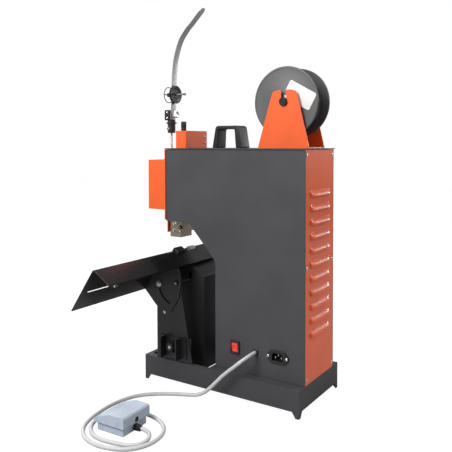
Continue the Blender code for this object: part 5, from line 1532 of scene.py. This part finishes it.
    def thumb_nut(self) -> None:
        """Knurled nut on its short stem."""
        place = centre("thumb_nut")
        place[1] = self.nut_station
        nut = [(0.0004, -0.0120), (0.0020, -0.0120), (0.0020, 0), (0.0062, 0), (0.0074, 0.0009),
               (0.0075, 0.0088), (0.0066, 0.0100), (0.0040, 0.0100), (0.0030, 0.0094), (0.0004, 0.0094)]
        skin = lathe(nut, "Y", place, 160, ripple=flutes(self.knurls, 0.0005, 0.5))
        Piece("knurled_nut").add(skin, PLATED).build("guide_nut", "thumb_nut", ("thumb_nut",))

    def stud(self) -> None:
        """Threaded stud that carries the clamp, with a brass nut and a lock nut at its foot."""
        low, high = corners("guide_post")
        place, foot = on_line("guide_post", "Z"), self.stud_foot
        piece = Piece("guide_stud").add(thread(0.0025, low[2], high[2], 0.0010, "Z", place), PLATED)
        piece.add(hexagon(0.0115, foot, foot + 0.0042, "Z", place), BRASS)
        piece.add(hexagon(0.0090, foot + 0.0046, foot + 0.0085, "Z", place), PLATED)
        piece.build("machine", "guide_post", ("guide_post",))

    def build(self) -> None:
        """Build the whole guide."""
        self.strip()
        self.disc()
        self.hoop()
        self.tension_bolt()
        self.clamp()
        self.thumb_nut()
        self.stud()


@dataclass
class Stand:
    """The table's stand: lock knob, bolts and nuts, and the table's gauge bolts.

    Attributes:
        lobes: round the lock knob.
        knob_depth: length of its grip.
        washer: radius of the arc bolt's washer.
        nut: size of the bolts and nuts across the flats.
        ridge: Y and Z of the saddle's ridge.
        front_slope: of its front leaf, degrees below level.
        gauge_reach: from the table's end to its gauge bolt.
        gauge_fall: from the ridge down the leaf to it.
        gauge_seat: how far its head sits under the leaf's upper face, and its screw over that face.
        post_place: Y and Z of the screw low on each post.
        post_screw: radius of that screw.
    """

    lobes: int = 7
    knob_depth: float = 0.0150
    washer: float = 0.0062
    nut: float = 0.0088
    ridge: tuple[float, float] = (-0.125, 0.271)
    front_slope: float = 55.2
    gauge_reach: float = 0.0885
    gauge_fall: float = 0.058
    gauge_seat: tuple[float, float] = (0.0021, 0.0001)
    post_place: tuple[float, float] = (-0.1280, 0.1470)
    post_screw: float = 0.0036

    def knob(self) -> None:
        """Lobed knob on the lock screw."""
        low, high = corners("lock_knob")
        place, face, radius = on_line("lock_knob", "X"), high[0], spans("lock_knob")[2] / 2
        back = face - self.knob_depth
        profile = [(0.0004, low[0]), (0.0030, low[0]), (0.0030, back), (0.0060, back),
                   (radius * 0.93, back + 0.0038), (radius, back + 0.0050), (radius, face - 0.0030),
                   (radius * 0.93, face - 0.0012), (radius * 0.78, face), (radius * 0.45, face - 0.0005),
                   (0.0036, face - 0.0012), (0.0004, face - 0.0012)]
        grip = lathe(profile, "X", place, 126, ripple=flutes(self.lobes, 0.0016, 1.6))
        piece = Piece("lobed_knob").add(grip, BLACK)
        insert = [(0.0004, face - 0.0012), (0.0030, face - 0.0012), (0.0030, face - 0.0006),
                  (0.0004, face - 0.0006)]
        piece.add(lathe(insert, "X", place, 32), PLATED)
        piece.build("lock", "lock_knob", ("lock_knob",))

    def arc_bolt(self) -> None:
        """Hexagon bolt and washer in the arc slot."""
        low, high = corners("arc_bolt")
        place, head = on_line("arc_bolt", "X"), high[0] - 0.0035
        seat = head + 0.0008
        piece = Piece("arc_slot_bolt").add(thread(0.0025, low[0], head + 0.0004, 0.0009, "X", place), PLATED)
        ring = [(0.0004, head), (self.washer, head), (self.washer, seat), (0.0004, seat)]
        piece.add(lathe(ring, "X", place, 48), PLATED)
        piece.add(hexagon(self.nut, seat, high[0], "X", place), PLATED)
        piece.build("stand", "arc_bolt", ("arc_bolt",))

    def tilt_rod(self) -> None:
        """Rod the table tilts on, with a nut on each end."""
        low, high = corners("tilt_rod")
        place = on_line("tilt_rod", "X")
        shaft = [(0.0004, low[0]), (0.0026, low[0]), (0.0030, low[0] + 0.0004), (0.0030, high[0] - 0.0004),
                 (0.0026, high[0]), (0.0004, high[0])]
        piece = Piece("tilt_rod_with_nuts").add(lathe(shaft, "X", place, 40), DULL_STEEL)
        piece.add(hexagon(self.nut, high[0] - 0.0029, high[0] - 0.0003, "X", place), BLACK_SCREW)
        piece.add(hexagon(self.nut, low[0] + 0.0003, low[0] + 0.0029, "X", place), BLACK_SCREW)
        piece.build("stand", "tilt_rod", ("tilt_rod",))

    def gauge_bolts(self) -> None:
        """Bright bolt at the inner end of each of the front leaf's slots."""
        slope = math.radians(self.front_slope)
        down = np.array([0, -math.cos(slope), -math.sin(slope)])
        under = np.array([0, math.sin(slope), -math.cos(slope)])
        reach = spans("saddle_table")[0] / 2 - self.gauge_reach
        profile = [(0.0003, 0), (0.0052, 0), (0.0056, 0.0006), (0.0056, 0.0026), (0.0046, 0.0036),
                   (0.0003, 0.0036)]
        below, above = self.gauge_seat
        piece = Piece("gauge_bolts")
        for side in (-1, 1):
            place = np.array([MIDDLE + side * reach, *self.ridge]) + down * self.gauge_fall
            head = lathe(profile, "Z", np.zeros(3), 40, ripple=flutes(20, 0.0004))
            piece.add(head.placed(facing(place + under * below, tuple(under))), PLATED)
            piece.add(pan_head(0.0040, 0.0022).placed(facing(place - under * above, tuple(-under))), PLATED)
        piece.build("table", "saddle_table")

    def post_screws(self) -> None:
        """Screw low on the outer face of each post."""
        right, left = corners("table_post_right")[1][0], corners("table_post_left")[0][0]
        piece = Piece("post_screws")
        for face, way in ((right, 1), (left, -1)):
            piece.screws([np.array([face, *self.post_place])], (way, 0, 0), self.post_screw)
        piece.build("stand", "table_post_right")

    def build(self) -> None:
        """Build the stand's details."""
        self.knob()
        self.arc_bolt()
        self.tilt_rod()
        self.gauge_bolts()
        self.post_screws()


@dataclass
class Electrics:
    """Rocker switch's mark, the mains inlet's fittings and the cord's bush on the right side panel.

    Attributes:
        mark: width, height and thickness of the rocker's bar.
        pin: width, height and length of the inlet's blades.
        pin_root: depth of the blades' roots behind the inlet's face.
        pins: Y and Z of the blades from the inlet's middle.
        screw_reach: from the inlet's middle to its screws.
        screw: radius of those screws.
    """

    mark: tuple[float, float, float] = (0.0008, 0.0044, 0.0012)
    pin: tuple[float, float, float] = (0.0020, 0.0040, 0.0100)
    pin_root: float = 0.0145
    pins: tuple[tuple[float, float], ...] = ((-0.0062, -0.0018), (0.0062, -0.0018), (0.0, 0.0030))
    screw_reach: float = 0.0196
    screw: float = 0.0027

    def rocker(self) -> None:
        """A raised white bar low on the rocker."""
        low, high = corners("switch_rocker")
        wide, tall, thick = self.mark
        face = corners("side_panel_right")[1][0] + 0.0002
        y, z = (low[1] + high[1]) / 2, low[2] + 0.28 * (high[2] - low[2])
        bar_low = np.array([face, y - wide / 2, z - tall / 2])
        bar_high = np.array([face + thick, y + wide / 2, z + tall / 2])
        bar = pad(bar_low, bar_high, "YZ", 0.0003, 0.0001)
        Piece("rocker_marks").add(bar, WHITE).build("rocker", "switch_rocker")

    def inlet(self) -> None:
        """Three blades in the inlet's well and two bright screws."""
        middle, face = centre("power_inlet"), corners("power_inlet")[1][0]
        root = face - self.pin_root
        piece = Piece("inlet_fittings")
        wide, tall, long = self.pin
        for y, z in np.array(self.pins) + middle[1:]:
            blade_low = np.array([root, y - wide / 2, z - tall / 2])
            blade_high = np.array([root + long, y + wide / 2, z + tall / 2])
            piece.add(pad(blade_low, blade_high, "YZ", 0.0007, 0.0004), PLATED)
        places = [np.array([face, middle[1] + way * self.screw_reach, middle[2]]) for way in (-1, 1)]
        piece.screws(places, (1, 0, 0), self.screw)
        piece.build("machine", "power_inlet")

    def bush(self) -> None:
        """Low moulded bush with a rounded collar."""
        low, high = corners("cable_gland")
        face = corners("side_panel_right")[1][0] + GAP
        radius, tip = spans("cable_gland")[2] / 2, high[0]
        profile = [(0.0004, low[0]), (0.0044, low[0]), (0.0048, low[0] + 0.0006), (0.0048, face),
                   (radius - 0.0004, face), (radius, face + 0.0004), (radius, face + 0.0010),
                   (radius - 0.0006, face + 0.0017), (0.0050, face + 0.0022), (0.0044, tip), (0.0004, tip)]
        skin = lathe(profile, "X", on_line("cable_gland", "X"), 64)
        Piece("cord_bush").add(skin, BLACK).build("machine", "cable_gland", ("cable_gland",))

    def build(self) -> None:
        """Build the electrical fittings."""
        self.rocker()
        self.inlet()
        self.bush()


@dataclass
class FootSwitch:
    """Cast pedal: the bush for the cord, and a black disc on the treadle's rear wall that is painted shade
    for an opening.

    Attributes:
        yaw: the pedal's turn on the floor, degrees.
        opening_level: height of the opening's middle.
        opening_inset: of its rim from the treadle's rearmost point.
    """

    yaw: float = PEDAL_YAW
    opening_level: float = 0.0205
    opening_inset: float = 0.0012

    def bush(self) -> None:
        """Ribbed bush where the cord enters."""
        spot = Vector(centre("pedal_gland"))
        turn = Matrix.Translation(spot) @ Matrix.Rotation(math.radians(self.yaw), 4, "Z")
        profile = [(0.0004, -0.0067), (0.0052, -0.0067), (0.0060, -0.0060), (0.0060, -0.0040),
                   (0.0050, -0.0036), (0.0050, -0.0020), (0.0058, -0.0015), (0.0058, 0), (0.0050, 0.0005),
                   (0.0050, 0.0022), (0.0055, 0.0028), (0.0055, 0.0042), (0.0046, 0.0050), (0.0044, 0.0068),
                   (0.0004, 0.0068)]
        skin = lathe(profile, "Y", np.zeros(3), 48).placed(turn)
        Piece("pedal_bush").add(skin, BLACK).build("machine", "pedal_gland", ("pedal_gland",))

    def opening(self) -> None:
        """Black disc with a raised rim on the treadle's rear wall: painted shade standing for the dark inside
        of an opening.
        """
        rear = corners("pedal_treadle")[1][1] - self.opening_inset
        spot = Vector((centre("pedal_gland")[0], rear, self.opening_level))
        turn = Matrix.Translation(spot) @ Matrix.Rotation(math.radians(self.yaw), 4, "Z")
        # A closed disc, not a hole: its black face is painted shade for the opening's dark inside.
        rim = [(0.0003, 0.0001), (0.0030, 0.0001), (0.0034, 0.0005), (0.0042, 0.0005), (0.0046, 0),
               (0.0046, -0.0008), (0.0003, -0.0008)]
        skin = lathe(rim, "Y", np.zeros(3), 48).placed(turn)
        Piece("treadle_opening_painted_shade").add(skin, RUBBER_AND_SHADE).build("treadle", "pedal_treadle")

    def build(self) -> None:
        """Build the pedal's details."""
        self.bush()
        self.opening()


def main() -> None:
    """Build the studio and the cord, dress the frame, then build each sub-assembly in turn."""
    logging.basicConfig(level=logging.INFO, format="%(name)s: %(message)s")
    Studio().build()
    FootCord().build()
    dress_frame()
    for assembly in (LouvredPanel(), Housing(), StitchingHead(), SpoolUnit(), WireGuide(), Stand(),
                     Electrics(), FootSwitch()):
        assembly.build()


if __name__ == "__main__":
    main()
